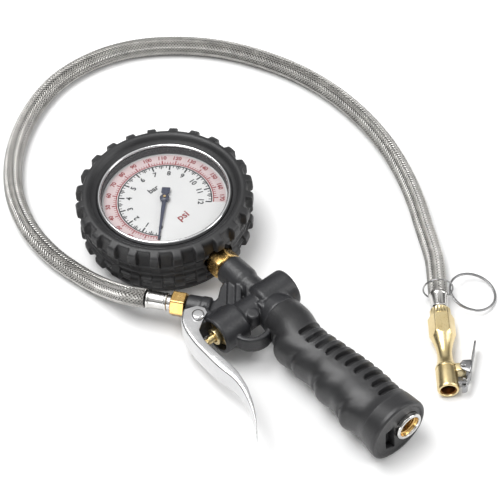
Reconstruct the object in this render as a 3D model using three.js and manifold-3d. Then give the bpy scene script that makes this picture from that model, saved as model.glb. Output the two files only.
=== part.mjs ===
// Hand-held tyre inflator: dial gauge in a rubber boot, squeeze-lever valve with a moulded
// grip, and a braided hose that ends in a clip-on tyre chuck with a key ring.
//
// Millimetres, +Z up. The tool lies on its side on a table: +Z is the dial's normal and the
// lever pin's axis, +X runs along the handle towards the air inlet, and -Y is the lever side.
// Inside the tool group the handle's axis is y = 0 and x = 0 is just in front of the boot.

import * as THREE from 'three';
import { mergeVertices } from 'three/addons/utils/BufferGeometryUtils.js';
import Module from 'manifold-3d';

// ---------------------------------------------------------------- driving dimensions

const ORIGIN = [38.3, -8.3];       // centre of the object's footprint, in tool coordinates
const AXIS_Z = 20;                // height of the tool's middle plane
const GAP = 0.3;                  // air left between pieces that touch

// pressure gauge, measured from the dial's centre
const GAUGE_X = -44;
const BOOT_R = 51;                // boot's tread band
const BOOT_H = 40;                // boot's total thickness
const LUG_COUNT = 24;
const LUG_R = 53.8;               // tips of the tread lugs
const CASE_R = 41.2;
const CASE_FLOOR_Z = 3.6;
const CASE_RIM_Z = 36.6;
const DIAL_R = 39.9;
const DIAL_Z = 33.4;
const DIAL_T = 0.8;
const BEZEL_R = 42.3;
const BEZEL_Z = 39.6;
const POINTER_LENGTH = 33;
const POINTER_ZERO_DEG = -45;     // the pointer's direction at no pressure

// gauge movement
const MODULE = 0.36;              // gear tooth size
const PINION_TEETH = 10;
const SECTOR_TEETH = 80;          // teeth that a full circle would have
const SECTOR_SWEEP_DEG = 33.75;   // 270 degrees of pointer travel over the 8 to 1 ratio
const SPARE_TEETH = 4;            // teeth of the sector that stay past both ends of its sweep
const MESH_X = -12.6;             // sector pivot, next to the pinion at the dial's centre
const MESH_Y = 11;
const TAIL_DEG = 5;               // the sector's tail, which the tube's link pulls
const TUBE_TIP_DEG = 97.6;        // free end of the bourdon tube

// nipple between gauge and valve
const NIPPLE_X = [5.6, 15.7];
const NIPPLE_FLATS = 17;

// valve body
const BOSS_R = 9.3;               // gauge boss
const BOSS_X = [16, 34];
const VALVE_X = 50.8;             // axis of the valve cylinder, which runs along Y
const VALVE_R = 11.8;
const VALVE_REAR_Y = 16.8;
const VALVE_FRONT_Y = -39;
const WEB_H = 13;                 // thickness of the web between boss, port and cylinder
const PORT = [16.4, -38.6, 18];   // centre of the hose nut
const PORT_DEG = 215;             // direction in which the hose leaves
const LOOP = [59.5, -19];         // hanging loop's centre
const LOOP_R = [9.5, 12.9];
const LOOP_H = 12;

// lever
const PIVOT = [37.5, -40.5];
const LEVER_H = 17;               // outside height of the channel at its ears
const LEVER_T = 1.6;              // sheet thickness

// handle
const CAP_X = [161.3, 171.8];
const CAP_R = 19.9;
const CAP_Y = -5.2;
const TUBE_Y = 1;                 // axis of the air tube and the inlet
const INLET_R = 8.8;
const INLET_BORE_R = 6;
const INLET_X = [145.3, 174.4];
const SLOT_COUNT = 10;
const SLOT_PITCH = 7.1;
const SLOT_FIRST_X = 91;

// hose
const HOSE_D = 12;
const HOSE_STEPS = 36;
const HOSE_ROUTE = [
  [-0.5, -50.4, 18], [-9.1, -56.2, 17.4], [-21.5, -59.2, 12.8], [-36, -61.4, 8], [-50, -63.8, 6.3],
  [-73.5, -66.9, 6.1], [-100, -65, 6.1], [-128.5, -55.5, 6.1], [-152, -40.2, 6.1], [-171, -20.2, 6.1],
  [-184.5, 2, 6.1], [-192, 23, 6.1], [-193.5, 44, 6.1], [-189.8, 65.5, 6.1], [-180.5, 86, 6.1],
  [-164.3, 106.6, 6.1], [-143.7, 124.2, 6.1], [-120.5, 137, 6.1], [-94, 146.6, 6.1], [-66.8, 151.4, 6.1],
  [-38.3, 151.6, 6.1], [-10, 147.5, 6.1], [17, 139.3, 6.1], [42, 128.2, 6.1], [62, 117, 6.1],
  [75, 109.8, 6.3], [86.6, 102.7, 6.9], [96.4, 95, 7],
];

// tyre chuck: x runs towards the mouth, which is at x = 0 in its own group
const CHUCK = [163.6, 41.5, 7];
const CHUCK_DEG = -38.5;
const CHUCK_R = 6.4;
const CHUCK_FLATS = 14;
const CHUCK_BORE_R = 4.6;
const FERRULE_X = [-85.2, -66.1];
const CLIP_PIVOT = [-14.8, 9.6];
const RING_X = -74.2;
const SMALL_RING_R = 8.4;
const SPLIT_RING_R = 14;
const SPLIT_RING_TILT_DEG = -14.5;
const WIRE_R = 0.6;

// ---------------------------------------------------------------- materials

const finish = (color, roughness, metalness, extra = {}) =>
  new THREE.MeshStandardMaterial({ color, roughness, metalness, ...extra });
const RUBBER = finish(0x3c3c3e, 0.75, 0);
const GRIP_PLASTIC = finish(0x3a3a3b, 0.55, 0);
const BLACK_PAINT = finish(0x3b3b40, 0.45, 0.1);
const CHROME = finish(0xdfe1e4, 0.12, 1);
const STEEL = finish(0xa9abad, 0.35, 1);
const BRAIDED = finish(0x9a9894, 0.45, 0.9);
const BRASS = finish(0xcfa45c, 0.28, 1);
const DIAL_WHITE = finish(0xf4f4f2, 0.5, 0);
const GLASS = finish(0xffffff, 0.05, 0, { transparent: true, opacity: 0.25 });
const SEAL = finish(0x1b1b1b, 0.7, 0);
const NEEDLE = finish(0x23273a, 0.4, 0.2);

// ---------------------------------------------------------------- solids

const wasm = await Module();
wasm.setup();

const radians = THREE.MathUtils.degToRad;
const point = (x, y, z) => new THREE.Vector3(x, y, z);

// Merges shared corners, drops collapsed triangles and turns the faces outwards.
function closed(geometry) {
  const bare = geometry.clone();
  for (const name of Object.keys(bare.attributes)) {
    if (name !== 'position') bare.deleteAttribute(name);
  }
  const merged = mergeVertices(bare, 1e-4);
  const at = merged.attributes.position;
  const corners = Array.from(merged.index.array);
  const [a, b, c] = [point(), point(), point()];
  const kept = [];
  let volume = 0;
  for (let i = 0; i < corners.length; i += 3) {
    const [p, q, r] = corners.slice(i, i + 3);
    if (p === q || q === r || r === p) continue;
    kept.push(p, q, r);
    volume += a.fromBufferAttribute(at, p)
      .dot(b.fromBufferAttribute(at, q).cross(c.fromBufferAttribute(at, r)));
  }
  merged.setIndex(volume < 0 ? kept.reverse() : kept);
  return merged;
}

function solid(geometry) {
  const merged = closed(geometry);
  return new wasm.Manifold(new wasm.Mesh({
    numProp: 3,
    vertProperties: new Float32Array(merged.attributes.position.array),
    triVerts: new Uint32Array(merged.index.array),
  }));
}

function geometryOf(shape) {
  const mesh = shape.getMesh();
  const geometry = new THREE.BufferGeometry();
  geometry.setAttribute('position', new THREE.BufferAttribute(mesh.vertProperties, 3));
  geometry.setIndex(new THREE.BufferAttribute(mesh.triVerts, 1));
  return geometry;
}

const joined = (...geometries) => geometries.map(solid).reduce((sum, next) => sum.add(next));
const cut = (shape, ...geometries) =>
  geometries.map(solid).reduce((rest, next) => rest.subtract(next), shape);

function add(group, name, shape, material) {
  const geometry = closed(shape.isBufferGeometry ? shape : geometryOf(shape));
  geometry.computeVertexNormals();
  const mesh = new THREE.Mesh(geometry, material);
  mesh.name = name;
  group.add(mesh);
}

// Moves a geometry that stands on the origin along +Y so that it stands on `from`, towards `to`.
function along(geometry, from, to) {
  const turn = new THREE.Quaternion();
  turn.setFromUnitVectors(point(0, 1, 0), to.clone().sub(from).normalize());
  return geometry.applyQuaternion(turn).translate(from.x, from.y, from.z);
}

// A round or many-sided bar; `spin` turns its corners about its own axis.
function rod(radius, from, to, sides = 24, endRadius = radius, spin = 0) {
  const length = from.distanceTo(to);
  const bar = new THREE.CylinderGeometry(endRadius, radius, length, sides);
  return along(bar.translate(0, length / 2, 0).rotateY(spin), from, to);
}

const hexBar = (flats, from, to) => rod(flats / Math.sqrt(3), from, to, 6, undefined, Math.PI / 6);

// A turned piece: profile points are [radius, distance from `from`].
function turned(profile, from, to, sides = 24) {
  const outline = profile.map(([radius, distance]) => new THREE.Vector2(radius, distance));
  return along(new THREE.LatheGeometry(outline, sides), from, to);
}

// A flat piece: an outline in plan, between two heights.
function plate(outline, low, high, curveSegments = 12) {
  const shape = outline instanceof THREE.Shape ? outline
    : new THREE.Shape(outline.map(([x, y]) => new THREE.Vector2(x, y)));
  const options = { depth: high - low, bevelEnabled: false, curveSegments };
  return new THREE.ExtrudeGeometry(shape, options).translate(0, 0, low);
}

// A plan outline between two radii and two angles, in degrees.
function sector(inner, outer, startDeg, endDeg, [x, y] = [0, 0]) {
  const shape = new THREE.Shape();
  shape.absarc(x, y, outer, radians(startDeg), radians(endDeg), false);
  shape.absarc(x, y, inner, radians(endDeg), radians(startDeg), true);
  return shape;
}

function box(low, high) {
  const size = high.map((value, axis) => value - low[axis]);
  const middle = low.map((value, axis) => value + size[axis] / 2);
  return new THREE.BoxGeometry(...size).translate(...middle);
}

// A wire or tube of round section along a curve.
function tube(curve, radius, steps, sides) {
  const section = new THREE.Shape();
  for (let i = 0; i < sides; i += 1) {
    const angle = 2 * Math.PI * i / sides;
    const corner = [radius * Math.cos(angle), radius * Math.sin(angle)];
    if (i === 0) section.moveTo(...corner);
    else section.lineTo(...corner);
  }
  return new THREE.ExtrudeGeometry(section, { steps, bevelEnabled: false, extrudePath: curve });
}

// ---------------------------------------------------------------- gauge

function bootShape() {
  const profile = [
    [14, 0], [44.5, 0], [46.8, 1.6], [47.4, 4.6], [46.4, 6], [47.8, 7.4], [48, 10.4],
    [BOOT_R - 0.4, 13], [BOOT_R, 16], [BOOT_R, 36.6], [49.8, 39.2], [48.4, BOOT_H], [46.8, 39.6],
    [BEZEL_R + GAP, 37.4], [BEZEL_R + GAP, 30.7], [CASE_R + GAP, 30.2], [CASE_R + GAP, 3.1],
    [14, 3.1], [14, 0],
  ];
  let boot = solid(turned(profile, point(0, 0, 0), point(0, 0, 1), 36));
  const lug = [[49, 11.5], [52.4, 12.5], [LUG_R, 15], [LUG_R, 36.4], [52, 38.8], [49, 39]];
  for (let i = 0; i < LUG_COUNT; i += 1) {
    // drawn in the radius-height plane, 6.4 mm wide along the tread
    const block = plate(lug, -3.2, 3.2).rotateX(Math.PI / 2);
    boot = boot.add(solid(block.rotateZ(2 * Math.PI * i / LUG_COUNT)));
  }
  return cut(
    boot,
    rod(8.2, point(36, 0, AXIS_Z), point(60, 0, AXIS_Z), 18),
    rod(10.8, point(47, 0, AXIS_Z), point(60, 0, AXIS_Z), 18),
  );
}

function caseShape() {
  const shell = turned([
    [0, CASE_FLOOR_Z], [CASE_R, CASE_FLOOR_Z], [CASE_R, CASE_RIM_Z], [40.2, CASE_RIM_Z],
    [40.2, DIAL_Z - GAP], [38.8, DIAL_Z - GAP], [38.8, 5], [0, 5],
  ], point(0, 0, 0), point(0, 0, 1), 36);
  return cut(solid(shell), rod(6.3, point(30, 0, AXIS_Z), point(50, 0, AXIS_Z), 24));
}

// Pressure block inside the case, with the stem that screws into the nipple.
function socketShape() {
  const stemEnd = -GAUGE_X + NIPPLE_X[0] - GAP;
  const block = joined(
    box([20.3, -6, 12], [36.5, 6, 28]),
    box([4, -4.5, 9.6], [21, 4.5, 13.7]),
    rod(6, point(36, 0, AXIS_Z), point(stemEnd, 0, AXIS_Z), 24),
    rod(4.7, point(stemEnd - 1, 0, AXIS_Z), point(stemEnd + 8, 0, AXIS_Z), 24),
  );
  return cut(block, rod(1.5, point(28, 0, AXIS_Z), point(stemEnd + 9, 0, AXIS_Z), 12));
}

// A gear outline: teeth stand between the root and the tip circles over a stretch of arc.
function gearOutline(teeth, firstDeg, count, hub) {
  const pitch = MODULE * teeth / 2;
  const root = pitch - 1.2 * MODULE;
  const tip = pitch + 0.55 * MODULE;
  const step = 360 / teeth;
  const outline = [];
  const mark = (radius, deg) =>
    outline.push([radius * Math.cos(radians(deg)), radius * Math.sin(radians(deg))]);
  for (let i = 0; i < count; i += 1) {
    const middle = firstDeg + i * step;
    mark(root, middle - 0.36 * step);
    mark(tip, middle - 0.1 * step);
    mark(tip, middle + 0.1 * step);
    mark(root, middle + 0.36 * step);
  }
  return outline.concat(hub);
}

const meshDeg = THREE.MathUtils.radToDeg(Math.atan2(-MESH_Y, -MESH_X));
const meshDistance = MODULE * (PINION_TEETH + SECTOR_TEETH) / 2;
const sectorPivot = [
  -meshDistance * Math.cos(radians(meshDeg)), -meshDistance * Math.sin(radians(meshDeg)),
];

function pinionShape() {
  // a tooth gap of the pinion faces the sector's first tooth
  const first = meshDeg + 180 + 180 / PINION_TEETH;
  const teeth = plate(gearOutline(PINION_TEETH, first, PINION_TEETH, []), 17.5, 21.5);
  return joined(teeth, rod(0.9, point(0, 0, 14.2), point(0, 0, 35.5), 16));
}

function sectorShape() {
  const toothStep = 360 / SECTOR_TEETH;
  const sweptTeeth = Math.ceil(SECTOR_SWEEP_DEG / toothStep);
  const hub = [[8.4, TAIL_DEG - 10], [8.4, TAIL_DEG + 10], [3, 90], [3, 165], [3, 240]]
    .map(([radius, deg]) => [radius * Math.cos(radians(deg)), radius * Math.sin(radians(deg))]);
  // the sector turns anticlockwise, so most of its teeth wait on the clockwise side
  const first = meshDeg - (sweptTeeth + 1) * toothStep;
  const outline = gearOutline(SECTOR_TEETH, first, sweptTeeth + SPARE_TEETH, hub);
  const gear = plate(outline, 18.4, 20.6);
  const arbor = rod(0.9, point(0, 0, 14.2), point(0, 0, 29.3), 12);
  const linkPin = rod(0.7, linkPoint(18.4), linkPoint(26.9), 12);
  return joined(gear, arbor, linkPin);
}

const linkPoint = (z) =>
  point(7 * Math.cos(radians(TAIL_DEG)), 7 * Math.sin(radians(TAIL_DEG)), z);

function movementPlateShape(low, high) {
  const [x, y] = sectorPivot;
  const bar = joined(
    rod(5.5, point(0, 0, low), point(0, 0, high), 20),
    rod(5.5, point(x, y, low), point(x, y, high), 20),
    plate([[-3, -5.4], [x - 3, y - 4.6], [x + 3.3, y + 4.4], [3, 5.4]], low, high),
    plate([[0, -4.5], [17, -4.5], [17, 4.5], [0, 4.5]], low, high),
  );
  return cut(
    bar,
    rod(1.2, point(0, 0, low - 1), point(0, 0, high + 1), 16),
    rod(1.2, point(x, y, low - 1), point(x, y, high + 1), 16),
  );
}

// Pillars between the two movement plates, in one piece with the lower one.
function lowerPlateShape() {
  return movementPlateShape(14, 15.2)
    .add(solid(rod(1.6, point(14.5, 0, 15), point(14.5, 0, 29), 14)))
    .add(solid(rod(1.6, point(7.4, 2.8, 15), point(7.4, 2.8, 29), 14)));
}

function hairspringShape() {
  const [turns, inner, outer, width] = [3.25, 2.2, 4.6, 0.25];
  const steps = 36;
  const edge = (offset) => Array.from({ length: steps + 1 }, (_, i) => {
    const angle = 2 * Math.PI * turns * i / steps;
    const radius = inner + (outer - inner) * i / steps + offset;
    return [radius * Math.cos(angle), radius * Math.sin(angle)];
  });
  return plate(edge(width / 2).concat(edge(-width / 2).reverse()), 22.6, 23.6);
}

// The link joins the sector's tail to the free end of the bourdon tube, which lies under it.
function linkShape() {
  const tip = point(29 * Math.cos(radians(TUBE_TIP_DEG)), 29 * Math.sin(radians(TUBE_TIP_DEG)), 0);
  const from = linkPoint(0).add(point(...sectorPivot, 0));
  const length = from.distanceTo(tip);
  const bar = joined(
    rod(1.7, point(0, 0, 25.6), point(0, 0, 26.6), 12),
    rod(1.7, point(length, 0, 25.6), point(length, 0, 26.6), 12),
    box([0, -1, 25.6], [length, 1, 26.6]),
  );
  return geometryOf(cut(bar, rod(1, point(0, 0, 20), point(0, 0, 28), 12)))
    .rotateZ(Math.atan2(tip.y - from.y, tip.x - from.x)).translate(from.x, from.y, 0);
}

function pointerShape() {
  const blade = joined(
    plate([[-1.1, -2.4], [POINTER_LENGTH, -0.35], [POINTER_LENGTH, 0.35], [-1.1, 2.4]], 35.4, 36),
    rod(3, point(0, 0, 35.1), point(0, 0, 36.3), 20),
    box([-8.5, -2.6, 35.4], [-4, 2.6, 36]),
    box([-5, -1.3, 35.4], [-1, 1.3, 36]),
  );
  const bored = cut(blade, rod(1.2, point(0, 0, 34), point(0, 0, 35.8), 16));
  return geometryOf(bored).rotateZ(radians(POINTER_ZERO_DEG));
}

function makeGauge() {
  const gauge = new THREE.Group();
  gauge.position.set(GAUGE_X, 0, 0);
  const [base, up] = [point(0, 0, 0), point(0, 0, 1)];
  add(gauge, 'gauge_boot', bootShape(), RUBBER);
  add(gauge, 'gauge_case', caseShape(), BLACK_PAINT);
  add(gauge, 'gauge_socket', socketShape(), BRASS);
  add(gauge, 'gauge_bezel', turned([
    [CASE_R + GAP, 31], [BEZEL_R, 31], [BEZEL_R, BEZEL_Z - 0.6], [41.7, BEZEL_Z],
    [40.5, BEZEL_Z - 0.1], [40.2, 38.8], [CASE_R + GAP, 38.7], [CASE_R + GAP, 31],
  ], base, up, 36), CHROME);
  add(gauge, 'gauge_lens', turned([[0, 37], [41, 37], [41, 38.4], [0, 38.4]], base, up, 36), GLASS);
  add(gauge, 'dial_spacer', turned([
    [39.1, 34.5], [39.9, 34.5], [39.9, 36.7], [39.1, 36.7], [39.1, 34.5],
  ], base, up, 32), SEAL);
  add(gauge, 'gauge_dial', turned([
    [2, DIAL_Z], [DIAL_R, DIAL_Z], [DIAL_R, DIAL_Z + DIAL_T], [2, DIAL_Z + DIAL_T], [2, DIAL_Z],
  ], base, up, 36), DIAL_WHITE);
  add(gauge, 'bourdon_tube', plate(sector(28, 32, TUBE_TIP_DEG, 347.6), 15, 25, 24), BRASS);
  add(gauge, 'movement_lower_plate', lowerPlateShape(), BRASS);
  add(gauge, 'movement_upper_plate', movementPlateShape(29.6, 30.8), BRASS);
  add(gauge, 'hairspring', hairspringShape(), BRASS);
  add(gauge, 'pinion_shaft', pinionShape(), BRASS);
  add(gauge, 'gauge_pointer', pointerShape(), NEEDLE);
  const sectorGear = geometryOf(sectorShape()).translate(...sectorPivot, 0);
  add(gauge, 'sector_gear', sectorGear, BRASS);
  add(gauge, 'tube_link', linkShape(), BRASS);
  return gauge;
}

// Hex nipple that the gauge's stem and the valve body's boss both screw onto.
function nippleShape() {
  const at = (x) => point(x, 0, AXIS_Z);
  const [start, end] = NIPPLE_X;
  return cut(
    joined(hexBar(NIPPLE_FLATS, at(start), at(end)), rod(5.8, at(end - 1), at(end + 10), 24)),
    rod(5, at(start - 1), at(end - 1), 24),
    rod(2.5, at(end - 2), at(end + 11), 16),
  );
}

// ---------------------------------------------------------------- valve

const portAt = (distance) => point(
  PORT[0] + distance * Math.cos(radians(PORT_DEG)),
  PORT[1] + distance * Math.sin(radians(PORT_DEG)),
  PORT[2],
);
const valveAt = (y) => point(VALVE_X, y, AXIS_Z);

function valveBodyShape() {
  const middle = (x, y = 0) => point(x, y, AXIS_Z);
  const [webLow, webHigh] = [AXIS_Z - WEB_H / 2, AXIS_Z + WEB_H / 2];
  const boss = turned([
    [0, 0], [BOSS_R - 1, 0], [BOSS_R, 1], [BOSS_R, 13], [BOSS_R - 2.5, 17], [0, BOSS_X[1] - BOSS_X[0]],
  ], middle(BOSS_X[0]), middle(BOSS_X[1]), 28);
  const cylinder = turned([
    [0, 0], [VALVE_R, 0], [VALVE_R, 17.5], [8.6, 19], [8.6, 33.5], [VALVE_R, 35.5],
    [VALVE_R, 52.5], [VALVE_R - 1.4, 55], [0, VALVE_REAR_Y - VALVE_FRONT_Y],
  ], valveAt(VALVE_FRONT_Y), valveAt(0), 30);
  const web = plate([
    [19, -2], [25, -14], [25.5, -21], [20, -28], [27, -37], [36, -35.5], [44, -30], [50, -10],
    [46, 4], [30, 5],
  ], webLow, webHigh);
  const pivotLug = rod(5.6, point(...PIVOT, 13.2), point(...PIVOT, 26.8), 20);
  const lugArm = plate([[33, -32], [44, -32], [43, -40], [34, -42]], 13.2, 26.8);
  const port = rod(6.6, portAt(-20), portAt(-4.9), 22);
  const bridge = rod(8.2, middle(32), middle(52), 20);
  const neck = rod(9.6, middle(52, -1), middle(66, -1), 24, 12.4);
  const flange = rod(13.2, middle(65, -1), middle(73, -1), 24);
  const spigot = rod(11.2, middle(72, -1), middle(80, -1), 20);
  const [loopLow, loopHigh] = [AXIS_Z - LOOP_H / 2, AXIS_Z + LOOP_H / 2];
  const loop = plate(sector(...LOOP_R, -118, 42, LOOP), loopLow, loopHigh, 12);
  const body = joined(
    boss, cylinder, web, pivotLug, lugArm, port, bridge, neck, flange, spigot, loop,
  );
  return cut(
    body,
    rod(9.6, valveAt(-45), valveAt(-27), 24),            // recess round the gland
    rod(6.8, valveAt(-28), valveAt(8), 20),               // spring chamber
    rod(6.1, middle(14), middle(27), 20),                 // nipple thread
    rod(2.4, middle(26), middle(50), 12),                 // passage to the gauge
    rod(3, portAt(-24), portAt(-2), 16),                  // passage to the hose
    rod(4.6, middle(50), middle(78), 16),                 // passage from the handle
    rod(7.9, middle(74, TUBE_Y), middle(84, TUBE_Y), 20), // seat of the air tube
    rod(1.9, point(...PIVOT, 5), point(...PIVOT, 35), 16), // lever pin
  );
}

function springShape() {
  const [coils, radius, start, length] = [5, 4.6, -13.4, 20];
  class Helix extends THREE.Curve {
    getPoint(t, target = point()) {
      const angle = 2 * Math.PI * coils * t;
      return target.set(
        VALVE_X + radius * Math.cos(angle), start + length * t, AXIS_Z + radius * Math.sin(angle),
      );
    }
  }
  return tube(new Helix(), 0.7, coils * 9, 5);
}

function addValve(group) {
  add(group, 'valve_body', valveBodyShape(), BLACK_PAINT);
  const gland = solid(turned([
    [2.7, 0], [5.2, 0], [5.2, 3], [9.2, 3.2], [9.2, 7], [6.4, 7.2], [6.4, 12], [2.7, 12], [2.7, 0],
  ], valveAt(-37), valveAt(0), 24));
  add(group, 'valve_gland', gland, BRASS);
  add(group, 'valve_stem', turned([
    [0, 0], [2, 0], [2.4, 0.6], [2.4, 33.6], [5.6, 33.6], [5.6, 35.6], [0, 35.6],
  ], valveAt(-53), valveAt(0), 20), BRASS);
  add(group, 'valve_spring', springShape(), STEEL);
  add(group, 'valve_seal', turned([
    [2.8, 0], [5.8, 0], [5.8, 1.6], [2.8, 1.6], [2.8, 0],
  ], valveAt(-24.6), valveAt(0), 20), SEAL);
}

// ---------------------------------------------------------------- lever

// Plan outline of the lever: a web that faces outwards, and flanges that turn in from it.
function leverCurve(offset) {
  return new THREE.SplineCurve([
    [28.2, -45], [33, -50], [45, -54.2], [54, -55.4], [69, -55.8], [84, -54.4], [96, -55.6],
    [109, -60], [118, -64.8], [125.5, -70.4],
  ].map(([x, y]) => new THREE.Vector2(x, y + offset))).getPoints(20).map((p) => [p.x, p.y]);
}

function leverShape() {
  const [low, high] = [AXIS_Z - LEVER_H / 2, AXIS_Z + LEVER_H / 2];
  const outer = leverCurve(0);
  const web = plate(outer.concat(leverCurve(LEVER_T).reverse()), low, high);
  // each flange is the ear round the pin, then a strip that narrows to the tip
  const rim = [
    [28.2, -45], [31.6, -36], [35.6, -33.8], [39, -34.8], [41.2, -39.2], [45.8, -46.2],
    [55, -49.2], [69, -49], [82, -48.6], [96, -51.4], [108, -57.6], [118, -63.6],
  ];
  const flange = outer.concat(rim.reverse());
  const channel = joined(web, plate(flange, low, low + LEVER_T), plate(flange, high - LEVER_T, high));
  // the channel narrows towards the tip
  const side = (sign) => {
    const slope = [[66, LEVER_H / 2], [130, LEVER_H / 2 - 4.4], [130, 14], [66, 14]];
    return new THREE.ExtrudeGeometry(
      new THREE.Shape(slope.map(([x, z]) => new THREE.Vector2(x, sign * z))),
      { depth: 60, bevelEnabled: false },
    ).rotateX(Math.PI / 2).translate(0, -30, AXIS_Z);
  };
  const pinHole = rod(2.8, point(...PIVOT, 0), point(...PIVOT, 40), 20);
  return cut(channel, side(1), side(-1), pinHole);
}

function leverPinShape() {
  const [low, high] = [AXIS_Z - LEVER_H / 2, AXIS_Z + LEVER_H / 2];
  return turned([
    [0, low - 1.6], [3.4, low - 1.6], [3.8, low - 1.1], [3.8, low - GAP], [1.6, low - GAP],
    [1.6, high + GAP], [3.8, high + GAP], [3.8, high + 1.3], [3, high + 1.9], [0, high + 1.9],
  ], point(...PIVOT, 0), point(...PIVOT, 1), 24);
}

// ---------------------------------------------------------------- handle

// The grip's stations along X: top and bottom edge in plan, and half its height.
const GRIP_STATIONS = [
  [73.4, 12, -15, 13.8], [77, 12, -17, 14.6], [81, 11.4, -18.4, 14.8], [88, 9.6, -20, 14.6],
  [96, 9.2, -20.2, 14.4], [103, 10, -18.6, 14.6], [110, 11, -18.6, 14.8], [117, 12, -21.2, 15],
  [124, 12.8, -20.6, 15.2], [131, 13.4, -20, 15.4], [137, 13.8, -22.2, 15.6], [143, 13.8, -23.6, 15.8],
  [149, 13.4, -21.8, 15.8], [155, 13.2, -21.6, 16.2], [161, 13.8, -23.4, 18],
];

// Sweeps a unit circle along X through stations of [x, top, bottom, half height].
function loft(stations, sides) {
  const geometry = new THREE.CylinderGeometry(1, 1, stations.length - 1, sides, stations.length - 1);
  const at = geometry.attributes.position;
  for (let i = 0; i < at.count; i += 1) {
    const station = Math.round(at.getY(i) + (stations.length - 1) / 2);
    const [x, top, bottom, half] = stations[station];
    const across = at.getX(i);
    const up = at.getZ(i);
    at.setXYZ(i, x, (top + bottom) / 2 + across * (top - bottom) / 2, AXIS_Z + up * half);
  }
  return geometry;
}

function gripShape() {
  const bore = rod(8, point(60, TUBE_Y, AXIS_Z), point(170, TUBE_Y, AXIS_Z), 24);
  const inletSeat = rod(
    INLET_R + GAP, point(INLET_X[0] - GAP, TUBE_Y, AXIS_Z), point(170, TUBE_Y, AXIS_Z), 24,
  );
  const socket = rod(11.5, point(60, -1, AXIS_Z), point(80.3, -1, AXIS_Z), 24);
  let grip = cut(solid(loft(GRIP_STATIONS, 22)), bore, inletSeat, socket);
  for (let i = 0; i < SLOT_COUNT; i += 1) {
    const x = SLOT_FIRST_X + i * SLOT_PITCH;
    // a ring-shaped cutter that grooves the palm side from the crown round to the back
    const groove = plate(sector(12, 30, -18, 92, [-2, 0]), x - 1.5, x + 1.5, 4);
    const turnedGroove = groove.rotateY(Math.PI / 2).rotateX(Math.PI / 2).translate(0, 0, AXIS_Z);
    grip = grip.subtract(solid(turnedGroove));
  }
  return grip;
}

function endCapShape() {
  const at = (x) => point(x, CAP_Y, AXIS_Z);
  const [start, end] = CAP_X;
  const length = end - start;
  const cap = turned([
    [0, 0], [18.6, 0], [CAP_R, 3.6], [CAP_R, length - 2.4], [CAP_R - 1.6, length],
    [CAP_R - 3.4, length], [CAP_R - 4.4, length - 2.4], [0, length - 2.4],
  ], at(start), at(end), 30);
  return cut(
    solid(cap),
    rod(INLET_R + GAP, point(start - 1, TUBE_Y, AXIS_Z), point(end + 1, TUBE_Y, AXIS_Z), 24),
  );
}

function addHandle(group) {
  const at = (x) => point(x, TUBE_Y, AXIS_Z);
  const [start, end] = INLET_X;
  add(group, 'handle_grip', gripShape(), GRIP_PLASTIC);
  add(group, 'handle_end_cap', endCapShape(), GRIP_PLASTIC);
  const tubeWall = solid(rod(7.6, at(74.3), at(start - 2.4), 24));
  add(group, 'air_tube', cut(tubeWall, rod(5, at(73), at(start), 16)), STEEL);
  add(group, 'inlet_seal', turned([
    [5.6, 0], [7.6, 0], [7.6, 1.6], [5.6, 1.6], [5.6, 0],
  ], at(start - 2), at(start), 20), SEAL);
  const length = end - start;
  const inlet = turned([
    [0, 0], [INLET_R, 0], [INLET_R, length - 0.8], [INLET_R - 0.8, length], [0, length],
  ], at(start), at(end), 28);
  add(group, 'inlet_insert', cut(
    solid(inlet),
    rod(INLET_BORE_R, at(end - 15.5), at(end + 1), 24),
    rod(4.2, at(start - 1), at(end - 15), 18),
  ), BRASS);
  add(group, 'inlet_filter', turned([
    [0, 0], [3.8, 0], [3.2, 9], [0, 9.6],
  ], at(start + 3), at(end), 18), BRASS);
}

// ---------------------------------------------------------------- hose and chuck

function addHose(group) {
  add(group, 'hose_nut', cut(
    joined(hexBar(14, portAt(-4.6), portAt(4.6))),
    rod(3, portAt(-6), portAt(6), 16),
  ), BRASS);
  add(group, 'hose_ferrule_body_end', cut(
    joined(turned([
      [0, 0], [5, 0], [5, 2.4], [5.5, 2.8], [5.5, 13.5], [5.3, 14.6], [0, 14.6],
    ], portAt(4.9), portAt(30), 24)),
    rod(3, portAt(4), portAt(21), 16),
  ), STEEL);
  const route = new THREE.CatmullRomCurve3(HOSE_ROUTE.map((p) => point(...p)));
  add(group, 'hose', tube(route, HOSE_D / 2, HOSE_STEPS, 10), BRAIDED);
}

function chuckShape() {
  const at = (x) => point(x, 0, 0);
  const body = joined(
    turned([
      [0, 0], [5.6, 0], [6.2, 0.8], [6.2, 4], [6.9, 4.6], [6.9, 18], [5.2, 27], [4.3, 34.5],
      [4.6, 39], [6, 43.6], [CHUCK_R, 45.4], [CHUCK_R, 64.8], [5.9, 65.6], [0, 65.6],
    ], at(-65.6), at(0), 28),
    hexBar(CHUCK_FLATS, at(-61), at(-47.6)),
    box([-17.6, 4, -3.4], [-12, 11.6, 3.4]),
  );
  return cut(
    body,
    rod(CHUCK_BORE_R, at(-26), at(1), 24),
    rod(2, at(-67), at(-20), 12),
    box([-6.4, 1, -2.6], [-2.6, 9, 2.6]),
    rod(1.1, point(...CLIP_PIVOT, -9), point(...CLIP_PIVOT, 9), 14),
  );
}

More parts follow.
